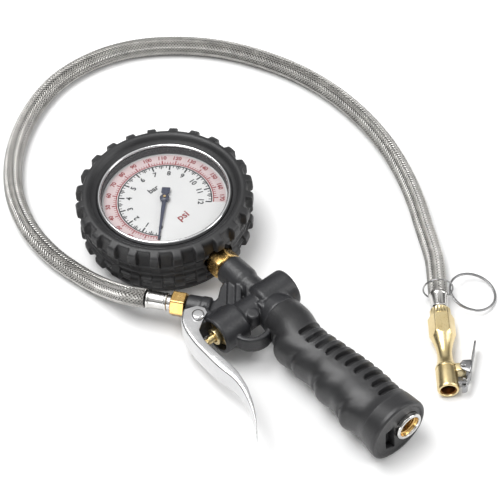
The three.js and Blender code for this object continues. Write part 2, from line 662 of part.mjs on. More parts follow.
function clipLeverShape() {
  const outer = [
    [-34.4, 19], [-21.4, 16.2], [-12.6, 14.6], [-4.6, 11.9], [-1.2, 11.4], [0.6, 9.6], [0.2, 7.6],
  ];
  const inner = [
    [-1, 7.8], [-0.8, 9.3], [-2, 10.3], [-5, 10.7], [-13, 13.4], [-21.6, 15], [-34.6, 17.8],
  ];
  const strip = plate(outer.concat(inner), -3.8, 3.8);
  const ear = [[-17.6, 14.8], [-18, 9.4], [-14.8, 7.4], [-12.2, 8.6], [-9.6, 13]];
  const claw = plate([[-5.4, 11.4], [-5.4, 5.2], [-3.8, 5.2], [-3.2, 11.4]], -2, 2);
  const bend = box([-17, 14, -4.9], [-10.6, 15, 4.9]);
  const clip = joined(strip, plate(ear, 3.8, 4.9), plate(ear, -4.9, -3.8), bend, claw);
  return cut(clip, rod(1.5, point(...CLIP_PIVOT, -9), point(...CLIP_PIVOT, 9), 14));
}

function makeChuck() {
  const chuck = new THREE.Group();
  chuck.position.set(...CHUCK);
  chuck.rotation.z = radians(CHUCK_DEG);
  const at = (x) => point(x, 0, 0);
  add(chuck, 'hose_ferrule_chuck_end', cut(
    joined(turned([
      [0, 0], [5.2, 0], [5.4, 1], [5.4, 15.6], [4.6, 16.2], [4.6, 19.1], [0, 19.1],
    ], at(FERRULE_X[0]), at(0), 24)),
    rod(2, at(-86), at(-60), 12),
  ), STEEL);
  add(chuck, 'chuck_body', chuckShape(), BRASS);
  add(chuck, 'chuck_seal', turned([
    [1.9, 0], [4.3, 0], [4.3, 2.4], [1.9, 2.4], [1.9, 0],
  ], at(-11.6), at(0), 20), SEAL);
  add(chuck, 'chuck_plunger', turned([
    [0, 0], [3.8, 0], [3.8, 2.4], [1.3, 2.8], [1.3, 9.4], [0.9, 9.8], [0, 9.8],
  ], at(-15), at(0), 20), BRASS);
  add(chuck, 'clip_lever', clipLeverShape(), CHROME);
  add(chuck, 'clip_pin', turned([
    [0, -6], [1.8, -6], [1.8, -5.2], [0.8, -5.2], [0.8, 5.2], [1.8, 5.2], [1.8, 6], [0, 6],
  ], point(...CLIP_PIVOT, 0), point(...CLIP_PIVOT, 1), 16), STEEL);
  addRings(chuck);
  return chuck;
}

// A loose ring round the ferrule stands on the table and holds the larger split ring.
function addRings(chuck) {
  const small = new THREE.TorusGeometry(SMALL_RING_R, WIRE_R, 6, 24).rotateY(Math.PI / 2);
  add(chuck, 'small_ring', small.translate(RING_X, 0, SMALL_RING_R + WIRE_R - CHUCK[2]), STEEL);
  const linked = new THREE.Group();
  linked.position.set(RING_X, 6.5, 1.6);
  linked.rotation.x = radians(SPLIT_RING_TILT_DEG);
  const split = turned([
    [SPLIT_RING_R - WIRE_R, -2 * WIRE_R], [SPLIT_RING_R + WIRE_R, -2 * WIRE_R],
    [SPLIT_RING_R + WIRE_R, 2 * WIRE_R], [SPLIT_RING_R - WIRE_R, 2 * WIRE_R],
    [SPLIT_RING_R - WIRE_R, -2 * WIRE_R],
  ], point(0, SPLIT_RING_R, 0), point(0, SPLIT_RING_R, 1), 36);
  add(linked, 'split_ring', split, STEEL);
  chuck.add(linked);
}

// ---------------------------------------------------------------- assembly

const tool = new THREE.Group();
tool.position.set(-ORIGIN[0], -ORIGIN[1], 0);
tool.add(makeGauge());
add(tool, 'gauge_nipple', nippleShape(), BRASS);
addValve(tool);
add(tool, 'squeeze_lever', leverShape(), CHROME);
add(tool, 'lever_pin', leverPinShape(), STEEL);
addHandle(tool);
addHose(tool);
tool.add(makeChuck());

const inflator = new THREE.Group();
inflator.add(tool);
export default inflator;
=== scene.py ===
# Visual model of a hand-held tyre inflator with a dial gauge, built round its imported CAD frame.
#
# Shapes are written in millimetres in the tool's own coordinates: +Z is the dial's normal, +X runs
# along the handle to the air inlet, -Y is the lever's side, and x = 0 is just in front of the boot.
# Shape.put() turns them into metres in the row frame. The dial gives the offset between the two.

from math import asin, copysign, cos, degrees, hypot, pi, radians, sin, sqrt

import bmesh
import bpy
import numpy as np
from mathutils import Matrix, Vector


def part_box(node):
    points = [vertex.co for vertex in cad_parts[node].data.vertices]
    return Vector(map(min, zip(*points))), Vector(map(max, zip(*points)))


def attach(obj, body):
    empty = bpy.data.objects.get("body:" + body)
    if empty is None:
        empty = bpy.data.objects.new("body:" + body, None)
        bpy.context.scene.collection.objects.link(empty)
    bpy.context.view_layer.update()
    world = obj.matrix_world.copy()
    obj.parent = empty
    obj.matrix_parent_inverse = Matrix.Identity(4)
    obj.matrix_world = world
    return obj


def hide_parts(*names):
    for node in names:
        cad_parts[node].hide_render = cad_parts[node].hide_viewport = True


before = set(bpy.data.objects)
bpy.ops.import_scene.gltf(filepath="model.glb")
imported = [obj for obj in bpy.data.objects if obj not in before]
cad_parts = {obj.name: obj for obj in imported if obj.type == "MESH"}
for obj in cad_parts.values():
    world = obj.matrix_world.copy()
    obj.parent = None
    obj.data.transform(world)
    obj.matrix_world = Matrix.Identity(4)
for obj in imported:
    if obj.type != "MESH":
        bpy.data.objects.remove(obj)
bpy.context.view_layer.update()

MM = 0.001
WELD = 0.0005 * MM  # points nearer than this are one
TAU = 2 * pi
ORIGIN, ALONG, ACROSS, UPWARDS = (0, 0, 0), (1, 0, 0), (0, 1, 0), (0, 0, 1)
AXIS_Z = 20.0  # height of the tool's middle plane
GAUGE_X = -44.0  # dial's centre, from x = 0
VALVE_X = 50.8  # axis of the valve cylinder, which runs along Y
TUBE_Y = 1.0  # axis of the air inlet
CAP_Y = -5.2  # centre of the handle's end cap
PORT = np.array([16.4, -38.6, 18.0])  # middle of the hose's nut
PORT_WAY = np.array([cos(radians(215)), sin(radians(215)), 0.0])
PIVOT = np.array([37.5, -40.5, 0.0])  # the lever's pin, seen from above
HOSE_D = 12.0  # the hose's diameter
HOSE_ROUTE = [(-0.5, -50.4, 18), (-9.1, -56.2, 17.4), (-21.5, -59.2, 12.8), (-36, -61.4, 8),
    (-50, -63.8, 6.3), (-73.5, -66.9, 6.1), (-100, -65, 6.1), (-128.5, -55.5, 6.1), (-152, -40.2, 6.1),
    (-171, -20.2, 6.1), (-184.5, 2, 6.1), (-192, 23, 6.1), (-193.5, 44, 6.1), (-189.8, 65.5, 6.1),
    (-180.5, 86, 6.1), (-164.3, 106.6, 6.1), (-143.7, 124.2, 6.1), (-120.5, 137, 6.1), (-94, 146.6, 6.1),
    (-66.8, 151.4, 6.1), (-38.3, 151.6, 6.1), (-10, 147.5, 6.1), (17, 139.3, 6.1), (42, 128.2, 6.1),
    (62, 117, 6.1), (75, 109.8, 6.3), (86.6, 102.7, 6.9), (96.4, 95, 7)]
HOSE_END_X = -71.6  # the hose's end inside its ferrule, along the chuck's own axis

low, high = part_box("gauge_dial")
SHIFT = np.array([(low.x + high.x) / 2 / MM - GAUGE_X, (low.y + high.y) / 2 / MM, 0.0])


# --- places

class Place:
    """A group's own coordinates: its origin in the tool and its turn about +Z."""

    def __init__(self, origin=ORIGIN, turned_by=0):
        c, s = cos(radians(turned_by)), sin(radians(turned_by))
        self.origin = np.array(origin, float)
        self.turn = np.array([[c, -s, 0], [s, c, 0], [0, 0, 1]])

    def __call__(self, points):
        return np.asarray(points, float) @ self.turn.T + self.origin


TOOL = Place()
GAUGE = Place((GAUGE_X, 0, 0))
CHUCK = Place((163.6, 41.5, 7), -38.5)


def row(point):
    """A tool point, in millimetres, as a point of the row frame in metres."""
    return (np.asarray(point, float) + SHIFT) * MM


# --- materials

def finish(name, base, tint, rough, metal=0.0, patches=60.0, grain=900.0, relief=0.0, stretch=(1, 1, 1),
        edge=None, specular=0.5, pits=0.0, alpha=1.0):
    """A procedural finish. patches and grain count features per metre; relief is the bump's height
    in millimetres; edge is the colour that convex edges lean to, painted highlight and wear; pits adds
    moulded texture."""
    material = bpy.data.materials.new(name)
    material.use_nodes = True
    tree = material.node_tree
    shader = tree.nodes["Principled BSDF"]
    link = tree.links.new

    def add(kind, **values):
        node = tree.nodes.new("ShaderNode" + kind)
        for socket, value in values.items():
            node.inputs[socket].default_value = value
        return node

    def noise(scale, detail, vector):
        node = add("TexNoise", Scale=scale, Detail=detail, Roughness=0.6)
        link(vector, node.inputs["Vector"])
        return node.outputs["Fac"]

    def spread(value, start, end, to_start, to_end):
        node = add("MapRange")
        for index, number in enumerate((start, end, to_start, to_end), 1):
            node.inputs[index].default_value = number
        link(value, node.inputs["Value"])
        return node.outputs["Result"]

    def mix(factor, first, second):
        node = add("Mix")
        node.data_type = "RGBA"
        link(factor, node.inputs["Factor"])
        for socket, colour in ((node.inputs[6], first), (node.inputs[7], second)):
            if isinstance(colour, tuple):
                socket.default_value = (*colour, 1)
            else:
                link(colour, socket)
        return node.outputs[2]

    place = add("TexCoord").outputs["Object"]
    mapping = add("Mapping", Scale=stretch)
    link(place, mapping.inputs["Vector"])
    broad = noise(patches, 3, place)
    fine = noise(grain, 4, mapping.outputs["Vector"])
    colour = mix(spread(broad, 0.3, 0.7, 0, 1), base, tint)
    # convex edges lean to the edge colour: a painted highlight, partly edge wear
    if edge is not None:
        point = add("NewGeometry").outputs["Pointiness"]
        colour = mix(spread(point, 0.52, 0.62, 0, 0.7), colour, edge)
    link(colour, shader.inputs["Base Color"])
    link(spread(fine, 0.25, 0.75, rough[0], rough[1]), shader.inputs["Roughness"])
    height = fine
    if pits:
        cells = add("TexVoronoi", Scale=pits)
        link(place, cells.inputs["Vector"])
        blend = add("Math")
        blend.operation = "ADD"
        link(fine, blend.inputs[0])
        link(cells.outputs["Distance"], blend.inputs[1])
        height = blend.outputs[0]
    if relief:
        bump = add("Bump", Distance=relief * MM, Strength=1)
        link(height, bump.inputs["Height"])
        link(bump.outputs["Normal"], shader.inputs["Normal"])
    for socket, value in (("Metallic", metal), ("Specular IOR Level", specular), ("Alpha", alpha)):
        shader.inputs[socket].default_value = value
    return material


RUBBER = finish("boot_rubber", (0.012, 0.012, 0.013), (0.022, 0.022, 0.023), (0.36, 0.54), patches=45,
    grain=1100, relief=0.05, pits=1500, edge=(0.055, 0.055, 0.057))
PLASTIC = finish("grip_plastic", (0.016, 0.016, 0.017), (0.026, 0.026, 0.0275), (0.30, 0.44), patches=35,
    grain=1400, relief=0.045, pits=1900, edge=(0.06, 0.06, 0.062))
PAINT = finish("black_paint", (0.017, 0.0172, 0.019), (0.028, 0.0284, 0.031), (0.3, 0.44), patches=70,
    grain=800, relief=0.06, pits=700, edge=(0.07, 0.072, 0.08))
# a dark finish for black parts, also laid on hollows and on the boot's inner lip as painted shade
BLACK_AND_SHADE = finish("black_and_painted_shade", (0.008, 0.008, 0.009), (0.014, 0.014, 0.015), (0.5, 0.7), relief=0.02)
BEZEL = finish("bezel_chrome", (0.72, 0.73, 0.74), (0.80, 0.80, 0.81), (0.08, 0.18), 1.0, relief=0.004)
CHROME = finish("lever_chrome", (0.60, 0.60, 0.605), (0.68, 0.68, 0.685), (0.14, 0.26), 1.0, patches=50,
    grain=500, relief=0.012, stretch=(0.3, 2, 2))
STEEL = finish("steel", (0.30, 0.30, 0.305), (0.42, 0.42, 0.42), (0.16, 0.3), 1.0, patches=120, grain=900,
    relief=0.01, stretch=(3, 1, 1))
WIRE = finish("hose_wire", (0.40, 0.39, 0.375), (0.60, 0.59, 0.565), (0.3, 0.45), 1.0, patches=160,
    grain=2200, relief=0.006)
HOSE_CORE = finish("hose_core", (0.008, 0.008, 0.008), (0.018, 0.017, 0.016), (0.5, 0.7), 0.2, patches=300,
    grain=1500, relief=0.03)
BRASS = finish("brass", (0.56, 0.34, 0.10), (0.70, 0.47, 0.19), (0.16, 0.32), 1.0, patches=110, grain=700,
    relief=0.004, stretch=(1, 1, 3), edge=(0.93, 0.75, 0.42))
PALE_BRASS = finish("chuck_brass", (0.70, 0.55, 0.28), (0.80, 0.67, 0.39), (0.24, 0.38), 1.0, patches=100,
    grain=900, relief=0.005, stretch=(2, 2, 0.6), edge=(0.97, 0.86, 0.58))
COPPER = finish("bore_brass", (0.36, 0.17, 0.07), (0.50, 0.26, 0.11), (0.3, 0.45), 1.0, patches=120,
    grain=900, relief=0.01)
NICKEL = finish("nickel", (0.58, 0.57, 0.55), (0.70, 0.69, 0.67), (0.14, 0.26), 1.0, patches=150, grain=900,
    relief=0.01)
WHITE = finish("dial_white", (0.66, 0.66, 0.66), (0.70, 0.70, 0.695), (0.38, 0.5), patches=40, grain=1200)
INK = finish("dial_ink", (0.012, 0.012, 0.014), (0.022, 0.022, 0.025), (0.45, 0.6), patches=800)
RED_INK = finish("dial_red", (0.22, 0.014, 0.018), (0.30, 0.026, 0.028), (0.45, 0.6), patches=800)
PINK = finish("dial_pink", (0.58, 0.46, 0.465), (0.63, 0.51, 0.51), (0.45, 0.6), patches=300)
SEAL = finish("seal_rubber", (0.015, 0.015, 0.016), (0.025, 0.025, 0.026), (0.5, 0.7), relief=0.03)
NEEDLE = finish("pointer_paint", (0.022, 0.026, 0.055), (0.032, 0.038, 0.075), (0.25, 0.38), patches=200)
GLASS = finish("lens_glass", (0.25, 0.26, 0.27), (0.3, 0.31, 0.32), (0.02, 0.05), patches=20, alpha=0.06)


# --- mesh tools

def unit(vector):
    vector = np.asarray(vector, float)
    return vector / np.linalg.norm(vector)


def smoothstep(start, end, value):
    t = np.clip((np.asarray(value, float) - start) / (end - start), 0, 1)
    return t * t * (3 - 2 * t)


def faces_of(rows, columns, wrap_rows=False, caps=False):
    """Quads of a grid of points whose rows are rings, with an end face on its first and last rows."""
    i, j = np.meshgrid(np.arange(rows if wrap_rows else rows - 1), np.arange(columns), indexing="ij")
    down, right = (i + 1) % rows, (j + 1) % columns
    quads = np.stack([i * columns + j, i * columns + right, down * columns + right, down * columns + j], -1)
    faces = quads.reshape(-1, 4).tolist()
    if caps:
        faces += [list(range(columns)), list(range((rows - 1) * columns, rows * columns))]
    return faces


class Shape:
    """Closed bodies gathered into one mesh, each with the number of its material."""

    def __init__(self, place=TOOL):
        self.place, self.points, self.faces, self.numbers, self.count = place, [], [], [], 0

    def add(self, points, faces, number=0):
        points = np.asarray(points, float).reshape(-1, 3)
        self.points.append(self.place(points))
        self.faces += [[k + self.count for k in face] for face in faces]
        self.numbers += [number] * len(faces)
        self.count += len(points)
        return self

    def grid(self, points, number=0, **wrap):
        return self.add(points, faces_of(*points.shape[:2], **wrap), number)

    def turned(self, profile, start, along, sides, shape=None, number=0, loop=False):
        """Turns a profile of [distance, radius] about a line; shape alters the radius."""
        d = unit(along)
        up = np.array((1.0, 0.0, 0.0) if abs(d[2]) > 0.99 else (0.0, 0.0, 1.0))
        u = unit(up - np.dot(up, d) * d)
        v = np.cross(d, u)
        angle = TAU * np.arange(sides) / sides
        profile = np.asarray(profile, float)
        s, r = profile[:, :1] + 0 * angle, profile[:, 1:2] + 0 * angle
        if shape is not None:
            r = shape(s, r, angle + 0 * r)
        outward = np.cos(angle)[:, None] * u + np.sin(angle)[:, None] * v
        points = np.asarray(start, float) + s[..., None] * d + r[..., None] * outward
        return self.grid(points, number, wrap_rows=loop, caps=not loop)

    def plate(self, outline, bottom, top, round_edge=0.0, number=0):
        """A flat outline between two heights, with its rim rounded."""
        outline = np.asarray(outline, float)
        if area_of(outline) < 0:
            outline = outline[::-1]
        rows = [(bottom, 0.0), (top, 0.0)]
        if round_edge:
            turn = [(1 - sin(a), 1 - cos(a)) for a in np.linspace(0, pi / 2, 4)]
            rows = ([(bottom + round_edge * c, round_edge * s) for s, c in turn]
                + [(top - round_edge * c, round_edge * s) for s, c in reversed(turn)])
        inward = inward_of(outline)
        points = np.array([np.column_stack([outline + inset * inward, np.full(len(outline), z)])
                           for z, inset in rows])
        return self.grid(points, number, caps=True)

    def swept(self, path, section, number=0, closed=False, side=None):
        """A section of [across, up] points swept along a path; an open path gets end faces."""
        path = np.asarray(path, float)
        normal, binormal = frames_of(path, closed, side)
        section = np.asarray(section, float)
        if section.ndim == 2:
            section = np.broadcast_to(section, (len(path), *section.shape))
        points = path[:, None] + section[..., :1] * normal[:, None] + section[..., 1:] * binormal[:, None]
        return self.grid(points, number, wrap_rows=closed, caps=not closed)

    def put(self, name, slot, materials, node=None, body="tool", sharp=34.0, sift=None):
        """Makes the Blender object: welded, turned outwards, smooth but for its real edges."""
        points = row(np.concatenate(self.points))
        mesh = bpy.data.meshes.new(name)
        mesh.from_pydata(points.tolist(), [], self.faces)
        for material in materials if isinstance(materials, (list, tuple)) else [materials]:
            mesh.materials.append(material)
        mesh.polygons.foreach_set("material_index", self.numbers)
        work = bmesh.new()
        work.from_mesh(mesh)
        bmesh.ops.remove_doubles(work, verts=work.verts, dist=WELD)
        bmesh.ops.dissolve_degenerate(work, edges=work.edges, dist=WELD)
        bmesh.ops.recalc_face_normals(work, faces=work.faces)
        work.to_mesh(mesh)
        work.free()
        piece = placed(name, mesh)
        if sift is not None:
            sift(piece)
        shade(piece, sharp)
        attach(piece, body)
        if node:
            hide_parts(node)
        return piece


def placed(name, data):
    """A new object in the scene."""
    thing = bpy.data.objects.new(name, data)
    bpy.context.scene.collection.objects.link(thing)
    return thing


def shade(piece, sharp):
    mesh = piece.data
    mesh.polygons.foreach_set("use_smooth", [True] * len(mesh.polygons))
    mesh.set_sharp_from_angle(angle=radians(sharp))


def settle(piece):
    """Applies a piece's modifiers, so that its mesh is what shows."""
    graph = bpy.context.evaluated_depsgraph_get()
    mesh = bpy.data.meshes.new_from_object(piece.evaluated_get(graph))
    piece.modifiers.clear()
    piece.data = mesh


def area_of(outline):
    x, y = outline[:, 0], outline[:, 1]
    return 0.5 * float(np.sum(x * np.roll(y, -1) - np.roll(x, -1) * y))


def inward_of(outline):
    """Directions that move an anticlockwise outline inwards by one millimetre on every side."""
    ahead = np.roll(outline, -1, 0) - outline
    ahead /= np.maximum(np.linalg.norm(ahead, axis=1, keepdims=True), 1e-9)
    behind = np.roll(ahead, 1, 0)

    def left(v):
        return np.column_stack([-v[:, 1], v[:, 0]])

    both = left(ahead) + left(behind)
    return both / np.maximum(np.sum(both * left(ahead), axis=1, keepdims=True), 0.35)


def frames_of(path, closed=False, side=None):
    """Two steady side directions at every point of a path."""
    if closed:
        tangent = np.roll(path, -1, 0) - np.roll(path, 1, 0)
    else:
        tangent = np.gradient(path, axis=0)
    tangent /= np.linalg.norm(tangent, axis=1, keepdims=True)
    if side is not None:
        binormal = np.asarray(side, float) - (tangent @ np.asarray(side, float))[:, None] * tangent
        binormal /= np.linalg.norm(binormal, axis=1, keepdims=True)
        return np.cross(binormal, tangent), binormal
    normals = [unit(np.cross(tangent[0], [0.03, 0.05, 1.0]))]
    for t in tangent[1:]:
        normals.append(unit(normals[-1] - np.dot(normals[-1], t) * t))
    normal = np.array(normals)
    return normal, np.cross(tangent, normal)


def rounded(corners, radius=0.3, loop=False, steps=4):
    """A polyline of [a, b] or [a, b, radius] corners with each corner turned into a short arc."""
    result, count = [], len(corners)
    for i, corner in enumerate(corners):
        p = np.array(corner[:2], float)
        size = corner[2] if len(corner) > 2 else radius
        if not loop and i in (0, count - 1):
            result.append(p)
            continue
        before = np.array(corners[i - 1][:2], float) - p
        after = np.array(corners[(i + 1) % count][:2], float) - p
        lengths = np.linalg.norm(before), np.linalg.norm(after)
        size = min(size, 0.45 * lengths[0], 0.45 * lengths[1])
        first, last = p + before * size / lengths[0], p + after * size / lengths[1]
        for t in np.linspace(0, 1, steps + 1):
            result.append((1 - t) ** 2 * first + 2 * t * (1 - t) * p + t * t * last)
    return np.array(result)


def ring_section(radius, sides):
    angle = TAU * np.arange(sides) / sides
    return radius * np.column_stack([np.cos(angle), np.sin(angle)])


def arc(radius, start, end, steps):
    angle = np.radians(np.linspace(start, end, steps + 1))
    return radius * np.column_stack([np.cos(angle), np.sin(angle)])


def hexed(flats, first=-1e9, last=1e9, turn=0.0):
    """Cuts a turned body down to a hexagon between two distances, with its corners eased."""
    apothem = flats / 2

    def shape(s, r, angle):
        local = (angle - turn + pi / 6) % (pi / 3) - pi / 6
        flat = np.minimum(apothem / np.cos(local), 0.985 * apothem / cos(pi / 6))
        return np.where((s >= first) & (s <= last), np.minimum(r, flat), r)

    return shape


def fluted(count, depth, first, last, power=1.0):
    """Flutes along a turned body between two distances."""

    def shape(s, r, angle):
        inside = smoothstep(first - 0.25, first + 0.25, s) * smoothstep(last + 0.25, last - 0.25, s)
        return r - depth * inside * np.abs(np.sin(count * angle / 2)) ** power

    return shape


def catmull_rom(points, samples):
    """A centripetal Catmull-Rom curve through points of any number of columns."""
    p = np.asarray(points, float)
    p = np.vstack([2 * p[0] - p[1], p, 2 * p[-1] - p[-2]])
    result = []
    for i in range(len(p) - 3):
        a, b, c, d = p[i:i + 4]
        gaps = [max(np.linalg.norm(y - x) ** 0.5, 1e-6) for x, y in ((a, b), (b, c), (c, d))]
        m1 = ((b - a) / gaps[0] - (c - a) / (gaps[0] + gaps[1]) + (c - b) / gaps[1]) * gaps[1]
        m2 = ((c - b) / gaps[1] - (d - b) / (gaps[1] + gaps[2]) + (d - c) / gaps[2]) * gaps[1]
        t = np.linspace(0, 1, samples, endpoint=False)[:, None]
        result.append((2 * t**3 - 3 * t**2 + 1) * b + (t**3 - 2 * t**2 + t) * m1
                      + (-2 * t**3 + 3 * t**2) * c + (t**3 - t**2) * m2)
    return np.vstack([*result, p[-2:-1]])


def length_of(path):
    return np.concatenate([[0], np.cumsum(np.linalg.norm(np.diff(path, axis=0), axis=1))])


def evenly(path, step):
    along = length_of(path)
    stops = np.linspace(0, along[-1], int(round(along[-1] / step)) + 1)
    return np.column_stack([np.interp(stops, along, path[:, k]) for k in range(path.shape[1])])


# --- camera, light and floor

# the view's axes in the row frame: to the image's right, up, and back towards the camera
VIEW_RIGHT = np.array([0.6018, 0.7986, 0.0])
VIEW_UP = np.array([-0.6064, 0.4570, 0.6508])
VIEW_BACK = np.array([0.5197, -0.3917, 0.7593])
VIEW_ROLL = radians(4.0)
VIEW_TARGET = row((0.0, 29.0, 0.0))
VIEW_DISTANCE = 1.35
LENS, SENSOR = 158.04, 36  # the camera's, in millimetres


def set_camera():
    lens = bpy.data.cameras.new("camera")
    lens.lens, lens.sensor_width = LENS, SENSOR
    lens.clip_start, lens.clip_end = 0.05, 20
    camera = placed("camera", lens)
    right = cos(VIEW_ROLL) * VIEW_RIGHT - sin(VIEW_ROLL) * VIEW_UP
    up = sin(VIEW_ROLL) * VIEW_RIGHT + cos(VIEW_ROLL) * VIEW_UP
    where = Matrix(np.column_stack([unit(right), unit(up), unit(VIEW_BACK)]).tolist()).to_4x4()
    where.translation = Vector(VIEW_TARGET + VIEW_DISTANCE * unit(VIEW_BACK))
    camera.matrix_world = where
    bpy.context.scene.camera = camera


def set_light(name, away, size, power):
    """An area light at a place given in image axes [right, up, back], facing the tool."""
    light = bpy.data.lights.new(name, "AREA")
    light.shape = "RECTANGLE"
    light.size, light.size_y = size
    light.energy = power
    lamp = placed(name, light)
    lamp.location = Vector(VIEW_TARGET + away[0] * VIEW_RIGHT + away[1] * VIEW_UP + away[2] * VIEW_BACK)
    lamp.rotation_euler = (Vector(VIEW_TARGET) - lamp.location).to_track_quat("-Z", "Y").to_euler()


SKY = [(0.0, 0.9), (0.1, 0.8), (0.2, 0.10), (0.45, 0.14), (0.62, 0.8), (1.0, 1.0)]
SKY_POWER = 0.8


def set_stage():
    scene = bpy.context.scene
    scene.view_settings.view_transform = "Standard"
    world = bpy.data.worlds.new("studio")
    world.use_nodes = True
    tree = world.node_tree
    parts = tree.nodes.new("ShaderNodeSeparateXYZ")
    ramp = tree.nodes.new("ShaderNodeValToRGB")
    place = tree.nodes.new("ShaderNodeTexCoord").outputs["Generated"]
    tree.links.new(place, parts.inputs[0])
    tree.links.new(parts.outputs["Z"], ramp.inputs["Fac"])
    tree.links.new(ramp.outputs["Color"], tree.nodes["Background"].inputs["Color"])
    # pale at the horizon, then a dark band that gives metal its contrast, then a bright ceiling
    for k, (height, shade_of_grey) in enumerate(SKY):
        stop = ramp.color_ramp.elements[k] if k < 2 else ramp.color_ramp.elements.new(height)
        stop.position, stop.color = height, (shade_of_grey,) * 3 + (1,)
    tree.nodes["Background"].inputs["Strength"].default_value = SKY_POWER
    scene.world = world
    set_light("key", (-0.6, 1.3, 1.3), (1.5, 1.1), 34)
    set_light("side", (1.6, 0.5, 0.9), (0.7, 1.3), 12)
    set_light("front", (-1.0, -1.2, 1.2), (1.2, 0.7), 8)
    half = 3.0  # half the floor's side, in metres
    corners = [(-half, -half, 0), (half, -half, 0), (half, half, 0), (-half, half, 0)]
    mesh = bpy.data.meshes.new("floor")
    mesh.from_pydata(corners, [], [(0, 1, 2, 3)])
    mesh.materials.append(finish("floor_paper", (0.90, 0.90, 0.90), (0.91, 0.91, 0.91), (0.8, 0.9),
        patches=3, grain=60, specular=0.1))
    floor = placed("floor", mesh)


set_camera()
set_stage()


# --- hose

STRANDS, WIRES = 16, 2  # strands each way round, and wires side by side in each
LAY = 33.0  # length in which a strand goes once round
BRAID_STEP = 0.85  # length between the sections of the braid
STRAND_COVER = 0.62  # share of the round that one way's strands cover
STRAND_DEPTH = 0.48  # a strand's middle height, below the hose's outside
STRAND_LIFT = 0.3  # how far it rises and sinks from there
WIRE_CREST = 0.18  # the round backs of its wires
STRAND_BODY = 0.14  # its thickness below them
CORE_DEPTH = 0.95  # the core's surface, below the hose's outside


def build_hose():
    """A woven sleeve of flat wire strands, over and under each other on a dark core."""
    route = catmull_rom(HOSE_ROUTE, 24)
    end = CHUCK((HOSE_END_X, 0, 0))
    route = np.vstack([route, np.linspace(route[-1], end, 7)[1:]])
    path = evenly(route, BRAID_STEP)
    along = length_of(path)
    shape = Shape().swept(path, ring_section(HOSE_D / 2 - CORE_DEPTH, 24), 1)
    width = STRAND_COVER * (TAU / STRANDS) / 2  # half a strand's width, as an angle
    across = np.linspace(-1, 1, 2 * WIRES + 1)
    crest = WIRE_CREST * np.abs(np.sin(np.pi * WIRES * (across + 1) / 2))
    crossings = 2 * STRANDS * along / LAY  # crossings passed since the hose's start
    for way in (1, -1):
        for k in range(STRANDS):
            # each strand goes over two of the other way's strands, then under two
            lift = STRAND_LIFT * way * np.sin(TAU * (way * crossings + 2 * k + 0.5) / 4)
            angle = way * TAU * along / LAY + TAU * k / STRANDS
            radius = HOSE_D / 2 - STRAND_DEPTH + lift
            top = radius[:, None] + crest[None, :]
            under = np.repeat(radius[:, None] - STRAND_BODY, 2, 1)
            r = np.concatenate([top, under], 1)
            a = angle[:, None] + width * np.concatenate([across, [1.0, -1.0]])[None, :]
            shape.swept(path, np.stack([r * np.cos(a), r * np.sin(a)], -1))
    hose = shape.put("braided_hose", "hose_braid", [WIRE, HOSE_CORE], "hose", sharp=60)
    return hose, path[::2]


hose, hose_path = build_hose()


# --- gauge

LUGS = 24
LUG_PITCH = 13.34  # from lug to lug along the tread
TREAD = 9, 40  # the heights between which the boot's section is made finer
LIP_SHADE_RADIUS, LIP_SHADE_FLOOR = 44.6, 28  # within this radius and above this height the inner wall is painted darker, as shade
# the boot's section from its back to its lip and down its inner wall: [radius, height] between
# lugs, then on a lug, and half the lug's width there; two numbers are a plain row without lugs
BOOT_ROWS = [(14, 0), (44.2, 0), (45.8, 0.4), (46.9, 1.7), (47.5, 3.4), (47.4, 4.6), (46.6, 5.4),
    (46.5, 6.2), (47.5, 7.1), (47.9, 8.2), (48.0, 9.8, 48.1, 9.6, 3.2), (48.3, 10.4, 50.0, 10.2, 3.2),
    (49.0, 11.2, 52.2, 11.0, 3.2), (49.8, 12.1, 53.0, 11.9, 3.2), (50.3, 13, 53.3, 13.0, 3.2),
    (50.7, 14.4, 53.4, 14.6, 3.2), (51.2, 15.6, 53.3, 16.2, 3.2), (51.7, 16.3, 53.0, 17.2, 3.2),
    (51.7, 17.2, 52.6, 18.0, 3.2), (50.6, 18.0, 51.6, 18.8, 3.0), (50.4, 19.6, 50.9, 19.9, 2.8),
    (50.5, 20.7, 50.9, 20.8, 2.8), (51.3, 21.3, 51.5, 21.3, 2.8), (51.3, 22.1, 51.5, 22.1, 2.8),
    (50.5, 22.8, 50.9, 22.8, 2.8), (50.4, 24.4, 50.9, 24.4, 2.8), (50.5, 26.2, 51.0, 26.2, 2.8),
    (51.5, 26.9, 51.8, 26.9, 2.8), (51.6, 27.9, 51.9, 27.9, 2.8), (50.8, 28.7, 51.6, 28.6, 2.8),
    (50.7, 29.8, 52.0, 29.6, 2.8), (50.7, 31.0, 53.2, 30.5, 2.9), (50.7, 32.0, 54.0, 31.4, 2.9),
    (50.7, 33.6, 54.3, 33.4, 2.9), (50.7, 35.4, 54.3, 35.6, 2.8), (50.7, 37.2, 54.2, 37.6, 2.8),
    (50.6, 38.4, 53.7, 38.8, 2.7), (50.4, 39.4, 52.6, 39.7, 2.7), (50.0, 40.2, 50.7, 40.3, 2.6),
    (49.4, 40.7), (48.4, 41.0), (47.3, 40.9), (46.2, 40.3), (45.2, 39.3), (44.5, 38.2), (43.2, 37.4),
    (41.9, 37.0), (41.4, 36.4), (41.4, 30.7), (41.3, 30.2), (41.3, 3.1), (14, 3.1)]


